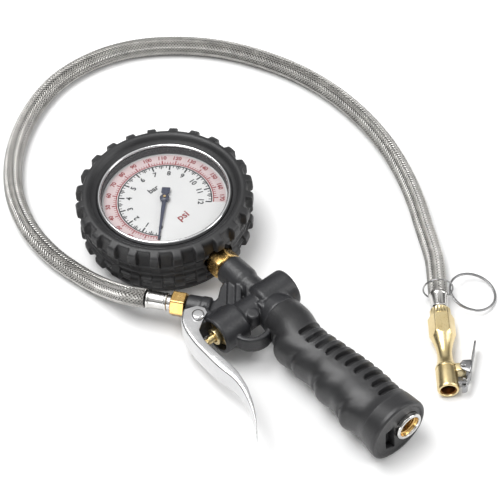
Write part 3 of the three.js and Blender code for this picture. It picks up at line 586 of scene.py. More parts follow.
def build_boot():
    """The rubber boot: a turned section with two rows of tread blocks joined by low bars."""
    steps = np.array([-LUG_PITCH / 2, -5.6, -4.7, -4.1, -3.7, -3.4, -3.1, -2.8, -2.5, -2.2, -1.6, -0.8, 0,
        0.8, 1.6, 2.2, 2.5, 2.8, 3.1, 3.4, 3.7, 4.1, 4.7, 5.6])
    period = TAU / LUGS
    angle = np.concatenate([k * period + steps * period / LUG_PITCH for k in range(LUGS)])
    offset = np.tile(steps, LUGS)
    rows = np.array([(*r, *r, 3) if len(r) == 2 else r for r in BOOT_ROWS], float)
    fine = [rows[0]]
    for a, b in zip(rows, rows[1:]):
        pieces = 2 if TREAD[0] < b[1] < TREAD[1] and np.linalg.norm(b[:2] - a[:2]) > 0.9 else 1
        fine += [a + (b - a) * (k + 1) / pieces for k in range(pieces)]
    rows = np.array(fine)
    on = smoothstep(0.45, -0.45, np.abs(offset)[None, :] - rows[:, 4:5])
    radius = rows[:, :1] * (1 - on) + rows[:, 2:3] * on
    height = rows[:, 1:2] * (1 - on) + rows[:, 3:4] * on
    points = np.stack([radius * np.cos(angle), radius * np.sin(angle), height], -1)
    shape = Shape(GAUGE).grid(points, wrap_rows=True)
    cutter = Shape(GAUGE).turned([(36, 8.2), (46.5, 8.2), (47.6, 11), (64, 11)], (0, 0, AXIS_Z), ALONG, 40)
    bore = cutter.put("bore_cutter", "boot_rubber", RUBBER)

    def pierce(piece):
        tool = piece.modifiers.new("bore", "BOOLEAN")
        tool.operation, tool.object, tool.solver = "DIFFERENCE", bore, "EXACT"
        settle(piece)
        # the lip's inner wall takes the dark material: painted shade
        centre = row((GAUGE_X, 0, 0))
        for face in piece.data.polygons:
            at = face.center
            if at.z > LIP_SHADE_FLOOR * MM and hypot(at.x - centre[0], at.y - centre[1]) < LIP_SHADE_RADIUS * MM:
                face.material_index = 1

    shape.put("rubber_boot", "boot_rubber", [RUBBER, BLACK_AND_SHADE], "gauge_boot", sharp=38, sift=pierce)
    bpy.data.objects.remove(bore)


DIAL_FACE_Z = 31.6  # the printed face's height
SCALE_START, SCALE_SWEEP = -45, 270
PSI_END, PSI_SWEEP = 170, 263.7  # the outer scale's last number, and its place in degrees
INK_DEPTH, INK_WEIGHT = 0.025, 0.14  # half the figures' thickness, and how much bolder they are drawn
BLACK_PRINT, RED_PRINT, PINK_PRINT = 0, 1, 2  # the print's materials


def gauge_direction(share):
    """The dial's direction for a share of the scale, which runs clockwise."""
    return radians(SCALE_START - SCALE_SWEEP * share)


def marks(shape, radius, length, width, shares, number, z):
    """Printed lines that start at a radius and point outwards, at shares of the scale."""
    for share in shares:
        a = gauge_direction(share)
        out, side = np.array([cos(a), sin(a)]), np.array([-sin(a), cos(a)])
        near, far, half = radius, radius + length, width / 2
        corners = [out * r + side * w for r, w in ((near, -half), (near, half), (far, half), (far, -half))]
        shape.plate(corners, DIAL_FACE_Z - 0.1, z + 0.06, number=number)


def band(shape, inner, outer, first, last, number, z):
    """A flat printed arc between two radii and two shares of the scale."""
    turns = [degrees(gauge_direction(s)) for s in (first, last)]
    outline = np.vstack([arc(outer, *turns, 120), arc(inner, *turns[::-1], 120)])
    shape.plate(outline, DIAL_FACE_Z - 0.1, z + 0.03, number=number)


def lettering(shape, text, size, radius, direction, facing, number, z):
    """Text whose top faces a direction, centred at a polar place on the dial."""
    font = bpy.data.curves.new("figure", "FONT")
    font.body, font.size = text, size
    font.align_x, font.align_y = "CENTER", "CENTER"
    font.extrude, font.offset, font.resolution_u = INK_DEPTH, INK_WEIGHT, 3
    holder = placed("figure", font)
    bpy.context.view_layer.update()
    graph = bpy.context.evaluated_depsgraph_get()
    mesh = bpy.data.meshes.new_from_object(holder.evaluated_get(graph))
    turn = facing - pi / 2
    c, s = cos(turn), sin(turn)
    points = np.array([v.co for v in mesh.vertices], float).reshape(-1, 3)
    points = points @ np.array([[c, -s, 0], [s, c, 0], [0, 0, 1]]).T
    points += [radius * cos(direction), radius * sin(direction), z + 0.03]
    shape.add(points, [list(p.vertices) for p in mesh.polygons], number)
    bpy.data.objects.remove(holder)
    bpy.data.meshes.remove(mesh)
    bpy.data.curves.remove(font)


def build_dial():
    """The printed face: a black scale to 12 inside a red scale to 170 on a pink band."""
    face = DIAL_FACE_Z
    shape = Shape(GAUGE)
    top_psi = PSI_END * SCALE_SWEEP / PSI_SWEEP
    print_z = face + 0.04
    bars, psis = [k / 12 for k in range(13)], [10 * k / top_psi for k in range(18)]
    band(shape, 29.2, 37.4, 0, 1, PINK_PRINT, face + 0.01)
    band(shape, 28.2, 29.0, 0, 1, BLACK_PRINT, print_z)
    band(shape, 29.5, 30.1, 0, 1, RED_PRINT, print_z)
    half_bars, small_bars = [(k + 0.5) / 12 for k in range(12)], [k / 60 for k in range(61) if k % 5]
    small_psis = [2 * k / top_psi for k in range(86) if k % 5]
    for radius, length, width, shares, ink in (
            (24.9, 3.6, 0.95, bars, BLACK_PRINT), (25.9, 2.6, 0.7, half_bars, BLACK_PRINT),
            (26.7, 1.8, 0.5, small_bars, BLACK_PRINT), (29.6, 3.0, 0.75, psis, RED_PRINT),
            (29.6, 1.9, 0.42, small_psis, RED_PRINT)):
        marks(shape, radius, length, width, shares, ink, print_z)
    marks(shape, 28.8, 3.4, 1.8, [0.0], BLACK_PRINT, face + 0.06)
    for k, share in enumerate(bars):
        a = gauge_direction(share)
        lettering(shape, str(k), 4.8, 21.9, a, a, BLACK_PRINT, print_z)
    for k, share in enumerate(psis[1:], 1):
        a = gauge_direction(share)
        lettering(shape, str(10 * k), 3.8, 34.8, a, a, RED_PRINT, print_z)
    top = gauge_direction(0.5)
    lettering(shape, "bar", 5.2, 11.5, top, top, BLACK_PRINT, print_z)
    lettering(shape, "psi", 7.0, 17.5, top + pi, top, RED_PRINT, print_z)
    shape.put("dial_print", "dial_white", [INK, RED_INK, PINK], sharp=30)
    disc = rounded([(face - 0.8, 0), (face - 0.8, 39.3), (face, 39.3), (face, 0)], 0.12)
    Shape(GAUGE).turned(disc, ORIGIN, UPWARDS, 128).put("dial_face", "dial_white", WHITE, "gauge_dial")


def build_pointer():
    """A tapered needle with a blunt counterweight and a domed hub, set at zero."""
    turn = Place((GAUGE_X, 0, 0), -45)
    blade = [(-2, -1.1), (0, -1.45), (12, -1.1), (33, -0.34), (33.3, 0), (33, 0.34), (12, 1.1), (0, 1.45),
        (-2, 1.1)]
    tail = rounded([(-8.6, -2.6), (-4.1, -2.6), (-3.2, -1.2), (-1, -1.2), (-1, 1.2), (-3.2, 1.2),
        (-4.1, 2.6), (-8.6, 2.6)], 0.5, loop=True)
    hub = rounded([(32.7, 0), (32.7, 3.0), (34.2, 3.0, 0.5), (34.8, 1.5, 0.6), (34.9, 0)], 0.2)
    needle = Shape(turn).plate(blade, 33.2, 33.8, 0.12).plate(tail, 33.1, 33.9, 0.18)
    needle.turned(hub, ORIGIN, UPWARDS, 40).put(
        "needle", "pointer_paint", NEEDLE, "gauge_pointer", "pointer")


def build_bezel():
    profile = rounded([(31, 40.1), (31, 41.2), (37.4, 41.2, 0.5), (38.6, 40.7, 0.8), (39.0, 39.9, 0.6),
        (38.7, 39.1, 0.5), (37.9, 38.8, 0.3), (36.6, 40.1)], 0.2, loop=True)
    Shape(GAUGE).turned(profile, ORIGIN, UPWARDS, 160, loop=True).put(
        "bezel_ring", "bezel_chrome", BEZEL, "gauge_bezel")
    wall = rounded([(31.7, 38.4), (36.9, 38.4), (36.9, 39.2), (31.7, 39.2)], 0.2, loop=True)
    Shape(GAUGE).turned(wall, ORIGIN, UPWARDS, 120, loop=True).put(
        "dial_wall", "seal_rubber", BLACK_AND_SHADE, "dial_spacer")
    lens = rounded([(37.1, 0), (37.1, 39.0), (38.2, 39.0), (38.2, 0)], 0.25)
    Shape(GAUGE).turned(lens, ORIGIN, UPWARDS, 128).put("window", "lens_glass", GLASS, "gauge_lens")


def build_nipple():
    middle, hexagon = (0, 0, AXIS_Z), hexed(17, 5.5, 15.8, radians(12))
    profile = rounded([(5.6, 0), (5.6, 7.9), (6.6, 9.75, 0.2), (14.6, 9.75, 0.2), (15.7, 7.9, 0.2),
        (15.7, 6.6), (17.5, 6.4), (24, 5.8), (24, 0)], 0.15)
    groove = rounded([(2.4, 0), (2.4, 6.4), (5.7, 6.4), (5.7, 0)], 0.2)
    Shape().turned(profile, middle, ALONG, 96, shape=hexagon).turned(groove, middle, ALONG, 48).put(
        "hex_nipple", "brass", BRASS, "gauge_nipple")


# --- valve

def build_valve():
    """The cast valve body: its bosses, cylinder, web and ribs run into each other with fillets."""
    middle = (0, 0, AXIS_Z)
    shape = Shape()
    shape.turned([(16, 0), (16, 8.6), (16.7, 9.4), (30.4, 9.5), (33.4, 8.4), (35.0, 5.6), (35.6, 0)],
        middle, ALONG, 48)
    barrel = [(-39, 9.6), (-39, 11.2), (-38.4, 12.0), (-22.4, 12.0), (-21.0, 11.2), (-20.4, 9.3),
        (-6.4, 9.1), (-5.6, 11.0), (-3.9, 12.0), (16.2, 12.0), (17.4, 11.3), (17.5, 0), (8, 0), (8, 6.6),
        (-27, 6.6), (-27, 9.6)]
    shape.turned(barrel, (VALVE_X, 0, AXIS_Z), ACROSS, 56, loop=True)
    web = [(19, -2), (25, -14), (30, -20), (31.5, -30), (36, -35.5), (44, -30), (50, -10), (46, 4), (30, 5)]
    shape.plate(web, 14.4, 21.6, 0.8)
    shape.plate([(30, -9), (47, -24), (50, -19.5), (33.5, -4.5)], 14.4, 24.0, 0.6)
    # raised ribs between the gauge boss and the barrel, and the arm that carries the lever's pin
    ribs = [((27.5, -8), (46, -24), 1.7, 24.2), ((32.2, -5.5), (49, -19.8), 1.8, 25.6),
        ((37.2, -1.5), (52, -12.8), 2.2, 27.0)]
    for (x0, y0), (x1, y1), wide, top in ribs:
        way = unit([x1 - x0, y1 - y0])
        side = wide * np.array([-way[1], way[0]])
        ends = np.array([(x0, y0), (x1, y1)])
        shape.plate([ends[0] - side, ends[1] - side, ends[1] + side, ends[0] + side], 13.4, top, 0.5)
    shape.plate([(32, -32), (44.5, -32), (43.2, -40), (34, -42)], 13.2, 26.8, 0.6)
    shape.plate([(38, -34), (44.5, -34), (45, -24), (39, -24)], 13.6, 26.0, 0.6)
    post = [(13.2, 0), (13.2, 5.2), (13.6, 5.6), (26.4, 5.6), (26.8, 5.2), (26.8, 0)]
    shape.turned(post, PIVOT, UPWARDS, 36)
    shape.turned([(-19.8, 0), (-19.8, 6.2), (-18.8, 7.4), (-14.6, 7.6), (-13.8, 7.1), (-5.6, 7.0),
        (-5.0, 6.4), (-5.0, 0)], PORT, PORT_WAY, 40)
    shape.turned([(32, 0), (32, 8.2), (52, 8.2), (52, 0)], middle, ALONG, 40)
    handle = (0, -1, AXIS_Z)
    shape.turned([(50, 0), (50, 9.4), (53.6, 9.8), (57, 11.4), (63.6, 12.5), (65.0, 12.5), (65.2, 11.1),
        (80, 11.1), (80, 0)], handle, ALONG, 48)
    # a boss on the neck beside the loop, and a lump where the two barrels meet
    shape.turned([(0, 0), (0, 4.0), (8.4, 4.0), (9.2, 3.2), (9.2, 0)], (57.5, -15.5, 19.5), UPWARDS, 24)
    shape.plate([(53.5, -9.5), (58.5, -9.5), (58.5, -4), (53.5, -4)], 14, 29.6, 0.8)
    # the hanging loop, a section of [radius, height] swept round its centre
    section = rounded([(9.6, -6.6), (13.1, -6.6), (13.1, 4.4), (9.6, 4.4)], 1.2, loop=True)
    turn = np.radians(np.linspace(-128, 46, 60))[:, None]
    centre_x, centre_y = 60.3, -19.4
    points = np.stack([centre_x + section[:, 0] * np.cos(turn), centre_y + section[:, 0] * np.sin(turn),
        AXIS_Z + section[:, 1] + 0 * turn], -1)
    shape.grid(points, caps=True)

    def melt(piece):
        remesh = piece.modifiers.new("melt", "REMESH")
        remesh.mode, remesh.voxel_size = "VOXEL", 0.42 * MM
        soften = piece.modifiers.new("soften", "SMOOTH")
        soften.factor, soften.iterations = 0.5, 12
        settle(piece)
        # the bore round the gland takes the dark, rougher material: painted shade in the recess
        axis, mouth = row((VALVE_X, 0, AXIS_Z)), row((0, -27.4, 0))[1]
        bore = 9.95 * MM
        for face in piece.data.polygons:
            at = face.center
            if at.y < mouth and hypot(at.x - axis[0], at.z - axis[2]) < bore:
                face.material_index = 1

    shape.put("cast_valve_body", "black_paint", [PAINT, BLACK_AND_SHADE], "valve_body", sharp=80, sift=melt)


def build_valve_front():
    """The brass gland in the cylinder's mouth, and the stem that the lever pushes."""
    axis = (VALVE_X, 0, AXIS_Z)
    gland = rounded([(-25, 2.7), (-25, 6.4), (-31.8, 6.4), (-32, 9.2), (-35.2, 9.2, 0.5), (-36.2, 7.8, 0.6),
        (-36.4, 5.3), (-40.4, 5.2, 0.5), (-40.4, 3.2), (-39.4, 2.7)], 0.2, loop=True)
    Shape().turned(gland, axis, ACROSS, 60, shape=fluted(6, 0.9, -36.5, -33.4, 3), loop=True).put(
        "brass_gland", "brass", PALE_BRASS, "valve_gland")
    stem = rounded([(-53, 0), (-53, 1.6), (-52.3, 2.4, 0.4), (-45.4, 2.4), (-45.1, 1.9, 0.2),
        (-44.4, 1.9, 0.2), (-44.1, 2.4), (-19.4, 2.4), (-19.4, 5.6), (-17.4, 5.6), (-17.4, 0)], 0.2)
    Shape().turned(stem, axis, ACROSS, 40).put("push_stem", "brass", PALE_BRASS, "valve_stem", "stem")


# --- lever

# pairs of plan points on the lever's outer face and on its flanges' rims; the rims of the first
# lines are the straight sides of the ears
EAR_LINES = 7
LINE_SAMPLES = 8  # sections from one pair to the next
LEVER_WIDTHS = 8.5, 4.1  # half the lever's width at its ears and at its tip
TAPER_START, TAPER_LENGTH = 66, 64
TIP_SECTIONS = 9  # sections over which the tip is rounded
LEVER_LINES = [(28.2, -45, 31.6, -36), (29.3, -46.2, 33.6, -34.9), (30.8, -47.8, 35.6, -33.8),
    (33, -50, 39, -34.8), (35.8, -51.5, 40.1, -37), (38.6, -52.6, 41.2, -39.2), (41.8, -53.5, 43.5, -42.7),
    (45, -54.2, 45.8, -46.2), (49.5, -54.9, 50.4, -48.2), (54, -55.4, 54.8, -49.2),
    (61.5, -55.7, 61.8, -49.5), (69, -55.8, 69, -49.4), (76.5, -55.3, 76.2, -48.9),
    (84, -54.4, 83.2, -48.9), (90, -54.6, 88.8, -49.9), (96, -55.6, 95, -51.4), (102.5, -57.5, 101.3, -54),
    (109, -60, 107.8, -57.1), (113.8, -62.4, 112.7, -60.1), (118, -64.8, 117, -63),
    (122, -67.6, 121.1, -66.2), (125.5, -70.4, 124.5, -69.2)]


def build_lever():
    """A pressed channel: a web, and two flanges that widen to ears round the pin."""
    smooth, straight = catmull_rom(LEVER_LINES, LINE_SAMPLES), np.array(LEVER_LINES, float)
    share = np.arange(len(smooth)) / LINE_SAMPLES
    ears = np.column_stack([np.interp(share, np.arange(len(straight)), straight[:, k]) for k in (2, 3)])
    lines = np.where(share[:, None] <= EAR_LINES, np.hstack([smooth[:, :2], ears]), smooth)
    sheet, bend = 1.6, 2.2
    sections = []
    for k, (x0, y0, x1, y1) in enumerate(lines):
        outer, rim = np.array([x0, y0]), np.array([x1, y1])
        depth = max(np.linalg.norm(rim - outer), sheet + 0.15)
        way = unit(rim - outer)
        taper = float(np.clip((x0 - TAPER_START) / TAPER_LENGTH, 0, 1))
        half = LEVER_WIDTHS[0] - (LEVER_WIDTHS[0] - LEVER_WIDTHS[1]) * taper
        tip = (len(lines) - 1 - k) / TIP_SECTIONS
        if tip < 1:
            half *= sqrt(max(1 - (1 - tip) ** 2, 0.04))
        inner = half - sheet
        corners = [(depth, -half, 0.5), (0, -half, bend), (0, half, bend), (depth, half, 0.5),
            (depth, inner, 0.5), (sheet, inner, 0.9), (sheet, -inner, 0.9), (depth, -inner, 0.5)]
        outline = rounded(corners, loop=True, steps=5)
        sections.append(np.column_stack([outer + outline[:, :1] * way, AXIS_Z + outline[:, 1]]))
    Shape().grid(np.array(sections), caps=True).put("pressed_lever", "lever_chrome", CHROME,
        "squeeze_lever", "lever", sharp=42)
    pin = rounded([(9.9, 0), (9.9, 3.3), (10.3, 3.8, 0.3), (11.2, 3.8), (11.2, 1.6), (28.8, 1.6),
        (28.8, 3.8), (29.6, 3.8, 0.6), (30.3, 2.9, 0.6), (30.4, 0)], 0.15)
    Shape().turned(pin, PIVOT, UPWARDS, 40).put("hinge_pin", "lever_chrome", CHROME, "lever_pin")


# --- handle

# the grip's section along X: [x, top's y, bottom's y, half its thickness]
GRIP_STATIONS = [(65.4, 11.8, -13.8, 12.8), (68.6, 12.2, -14.4, 13.3), (73, 12.3, -15.4, 14.1),
    (77, 12.1, -17, 14.6), (81, 11.4, -18.4, 14.8), (88, 9.6, -20, 14.6), (96, 9.2, -20.2, 14.4),
    (103, 10, -18.6, 14.6), (110, 11, -18.6, 14.8), (117, 12, -21.2, 15), (124, 12.8, -20.6, 15.2),
    (131, 13.4, -20, 15.4), (137, 13.8, -22.2, 15.6), (143, 13.8, -23.6, 15.8), (149, 13.4, -21.8, 15.8),
    (155, 13.2, -21.6, 16.2), (161.2, 13.9, -23.6, 18)]
SLOT_ENDS = [-6.5, -7, -6, -4.8, -3.5, -2.3, -1.9, -0.9, -1.1, -2.6]
SLOT_START, SLOT_PITCH, SLOT_DEPTH = 91, 7.1, 2.9
SHADE_DEPTH = 1.3  # faces sunk deeper than this are painted darker, as shade
PADS = [(77.5, 95.0), (95.0, 116.2), (116.2, 140.0), (140.0, 161.0)]
PAD_HEIGHT, CREASE_DEPTH = 2.1, 1.1
ROUNDNESS = 2.25  # 2 is an ellipse, more is squarer


def bulge_of(c, s):
    """How far out a squarish outline reaches in the direction [c, s]."""
    return (np.abs(c) ** ROUNDNESS + np.abs(s) ** ROUNDNESS) ** (-1 / ROUNDNESS)


def build_grip():
    """The moulded grip: a loft with four finger pads below and ten grooves over the palm side."""
    stations = np.array(GRIP_STATIONS, float)
    smooth = catmull_rom(stations, 16)
    start_x, end_x = stations[0, 0], stations[-1, 0]
    x = np.concatenate([start_x + np.array([0, 0.2, 0.5, 0.9]), np.arange(66.8, 161.4, 0.42)])
    top, bottom, half = (np.interp(x, smooth[:, 0], smooth[:, k]) for k in (1, 2, 3))
    sides = 168
    angle = TAU * np.arange(sides) / sides  # 0 is +Y, 90 degrees is up
    c, s = np.cos(angle), np.sin(angle)
    bulge = bulge_of(c, s)
    y = ((top + bottom) / 2)[:, None] + ((top - bottom) / 2)[:, None] * (bulge * c)[None, :]
    z = AXIS_Z + half[:, None] * (bulge * s)[None, :]
    depth = np.zeros_like(y)
    # finger pads swell out of the lower side behind a curved crease at their start
    above = np.degrees(np.arctan2(s, -c))[None, :]  # angle above the lower side's middle
    reach = smoothstep(68, 16, above) * smoothstep(-95, -60, above)
    for start, end in PADS:
        begin = start + 0.0018 * np.clip(above, 0, 70) ** 2 - 0.03 * np.clip(above, -60, 0)
        run = (x[:, None] - begin) / (end - start)
        shape = np.where((run > 0) & (run < 1.05), smoothstep(0, 0.26, run) * smoothstep(1.05, 0.3, run), 0)
        crease = np.exp(-((x[:, None] - begin) / 1.3) ** 2) * smoothstep(58, 20, above)
        depth += (PAD_HEIGHT * shape - CREASE_DEPTH * crease) * reach
    # grooves with round ends and a low lip round them
    for k, end_y in enumerate(SLOT_ENDS):
        centre = SLOT_START + SLOT_PITCH * k
        limit_back = radians(-24)
        middle = np.interp(centre, x, (top + bottom) / 2)
        wide = np.interp(centre, x, (top - bottom) / 2)
        limit_up = pi / 2 + asin(float(np.clip((middle - end_y) / wide, -0.9, 0.9)))
        around = (angle + pi / 2) % TAU - pi / 2
        beyond = np.maximum(np.maximum(around - limit_up, limit_back - around), 0)[None, :] * 15.0
        gap = np.hypot(x[:, None] - centre, beyond)
        depth -= SLOT_DEPTH * smoothstep(2.0, 1.3, gap)
        depth += 0.12 * np.exp(-((gap - 2.5) / 0.45) ** 2)
    points = np.stack([np.broadcast_to(x[:, None], y.shape), y + depth * c, z + depth * s], -1)
    # the bore through the middle, wider where the casting's spigot sits
    bores = [(end_x, 9.2, TUBE_Y), (81.2, 9.2, -1.0), (80.8, 11.3, -1.0), (start_x, 11.3, -1.0)]
    inside = [np.stack([np.full(sides, at), middle + radius * c, AXIS_Z + radius * s], -1)
              for at, radius, middle in bores]
    # the grooves' floors take the dark material: painted shade
    sunk = (depth < -SHADE_DEPTH).ravel()

    def darken(piece):
        for face in piece.data.polygons:
            if all(k < len(sunk) and sunk[k] for k in face.vertices):
                face.material_index = 1

    Shape().grid(np.concatenate([points, inside]), wrap_rows=True).put(
        "moulded_grip", "grip_plastic", [PLASTIC, BLACK_AND_SHADE], "handle_grip", sharp=50, sift=darken)


# the end cap's outline round its own centre, as [degrees from +Y towards +Z, radius]
CAP_OUTLINE = [(0, 19.7), (30, 20.1), (60, 19.9), (90, 19.9), (120, 19.8), (150, 19.7), (180, 20.0),
    (205, 20.3), (225, 20.4), (245, 19.2), (262, 18.8), (280, 18.6), (298, 18.7), (318, 19.2), (340, 19.5)]
CAP_SIDES = 180
CAP_START, CAP_FLARE, CAP_FACE = 161.1, 8.9, 171.6  # where it starts, how long it flares, its face
NOTCH = [(-8.2, 26.0), (-14.8, 24.6), (-14.6, 10.6), (-8.0, 6.6)]  # corners, as [y, z]
NOTCH_DEPTH = 4.5


def build_end_cap():
    """The handle's end: a flared lip with a dished face, a moulded notch and the inlet's hole."""
    ring = np.array(CAP_OUTLINE, float)
    turn = np.degrees(TAU * np.arange(CAP_SIDES) / CAP_SIDES)
    edge = np.interp(turn, np.append(ring[:, 0], 360), np.append(ring[:, 1], ring[0, 1]))
    edge = np.array([np.mean(np.take(edge, np.arange(k - 5, k + 6), mode="wrap"))
                     for k in range(CAP_SIDES)])
    rows = rounded([(161.1, 0), (163.0, 0, 0.6), (166, 0, 1.2), (170.0, 0, 1.0), (171.9, -0.2, 0.5),
        (172.5, -1.1, 0.4), (172.45, -2.4, 0.4), (171.7, -3.3, 0.5), (171.6, -5.5, 0.6)], 0.5, steps=6)
    a = np.radians(turn)
    circle = np.stack([np.cos(a), np.sin(a)], -1)
    _, top, bottom, half = GRIP_STATIONS[-1]
    root = bulge_of(*circle.T)[:, None] * [(top - bottom) / 2, half] * circle
    root += [(top + bottom) / 2, AXIS_Z]
    outlines = []
    for x, inset in rows:
        share = float(np.clip((x - CAP_START) / CAP_FLARE, 0, 1))
        flared = (edge + inset * share)[:, None] * circle + [CAP_Y, AXIS_Z]
        outlines.append((x, root * (1 - share) + flared * share))
    # the face runs in to the inlet's hole, which goes back into the grip
    last, hole = outlines[-1][1], 9.15 * circle + [TUBE_Y, AXIS_Z]
    outlines += [(CAP_FACE, last * (1 - t) + hole * t) for t in np.linspace(0.03, 1, 44)]
    outlines.append((161.4, hole))
    points = np.array([np.column_stack([np.full(CAP_SIDES, x), outline]) for x, outline in outlines])
    # the notch beside the inlet is sunk inside its four corners
    y, z = points[..., 1], points[..., 2]
    centre = np.mean(NOTCH, axis=0)
    inside = np.full(y.shape, 1e9)
    for (y0, z0), (y1, z1) in zip(NOTCH, NOTCH[1:] + NOTCH[:1]):
        length = hypot(y1 - y0, z1 - z0)
        side = ((y1 - y0) * (z - z0) - (z1 - z0) * (y - y0)) / length
        sign = (y1 - y0) * (centre[1] - z0) - (z1 - z0) * (centre[0] - y0)
        inside = np.minimum(inside, side * copysign(1, sign))
    # only on the face, inside the lip and outside the inlet's hole
    face = (points[..., 0] > 171.2) & (np.arange(len(points))[:, None] > 34)
    face &= np.hypot(y - TUBE_Y, z - AXIS_Z) > 9.5
    points[..., 0] -= np.where(face, NOTCH_DEPTH * smoothstep(0.0, 0.7, inside), 0)

    # the notch's faces take the dark material: painted shade in the recess
    def darken(piece):
        low_corner, high_corner = row((165.5, -15.6, 5.9)), row((168.6, -7.2, 26.9))
        for side in piece.data.polygons:
            at = np.array(side.center)
            if np.all((low_corner < at) & (at < high_corner)):
                side.material_index = 1

    Shape().grid(points, wrap_rows=True).put("flared_end_cap", "grip_plastic", [PLASTIC, BLACK_AND_SHADE],
        "handle_end_cap", sharp=44, sift=darken)


def build_inlet():
    """The brass inlet with its threaded bore and a bright chamfered mouth."""
    pitch, radius, ridge = 1.35, 6.05, 0.42  # the thread's
    profile = [(145.3, 4.2), (145.3, 8.6), (145.6, 8.8), (173.5, 8.8), (174.1, 8.5), (174.4, 8.0),
        (174.4, 7.3), (174.2, 7.0), (172.6, 6.3)]
    bore = np.linspace(172.4, 160.2, 90)
    profile += [(x, radius + ridge * cos(TAU * (x - 160) / pitch)) for x in bore]
    profile += [(159.6, 4.6), (159.4, 4.2)]
    shape = Shape().turned(profile, (0, TUBE_Y, AXIS_Z), ALONG, 72, loop=True)
    ring = rounded([(172.6, 6.5), (174.45, 6.9, 0.3), (174.6, 7.4, 0.2), (174.6, 8.3, 0.4),
        (173.9, 8.85, 0.3), (171.5, 8.9), (171.5, 6.6)], 0.15, loop=True)
    shape.turned(ring, (0, TUBE_Y, AXIS_Z), ALONG, 72, number=1, loop=True)
    shape.put("threaded_inlet", "inlet_brass", [BRASS, NICKEL], "inlet_insert")


# --- hose ends

def build_hose_start():
    """The swivel nut and the crimped ferrule where the hose leaves the valve."""
    nut = rounded([(-4.6, 0), (-4.6, 6.2), (-3.9, 8.05, 0.15), (3.7, 8.05, 0.15), (4.6, 6.4, 0.2),
        (4.6, 0)], 0.1)
    Shape().turned(nut, PORT, PORT_WAY, 96, shape=hexed(14)).put("swivel_nut", "brass", BRASS, "hose_nut")
    shell = rounded([(4.7, 0), (4.7, 4.6), (6.9, 4.7), (7.2, 5.5, 0.3), (8.4, 5.7, 0.3), (9.0, 5.25),
        (17.8, 5.35), (18.2, 5.8, 0.3), (19.4, 6.0, 0.3), (19.7, 5.5), (19.7, 0)], 0.15)
    Shape().turned(shell, PORT, PORT_WAY, 96, shape=fluted(8, 0.9, 9.6, 17.2, 0.7)).put(
        "crimped_ferrule_valve_end", "steel", NICKEL, "hose_ferrule_body_end")


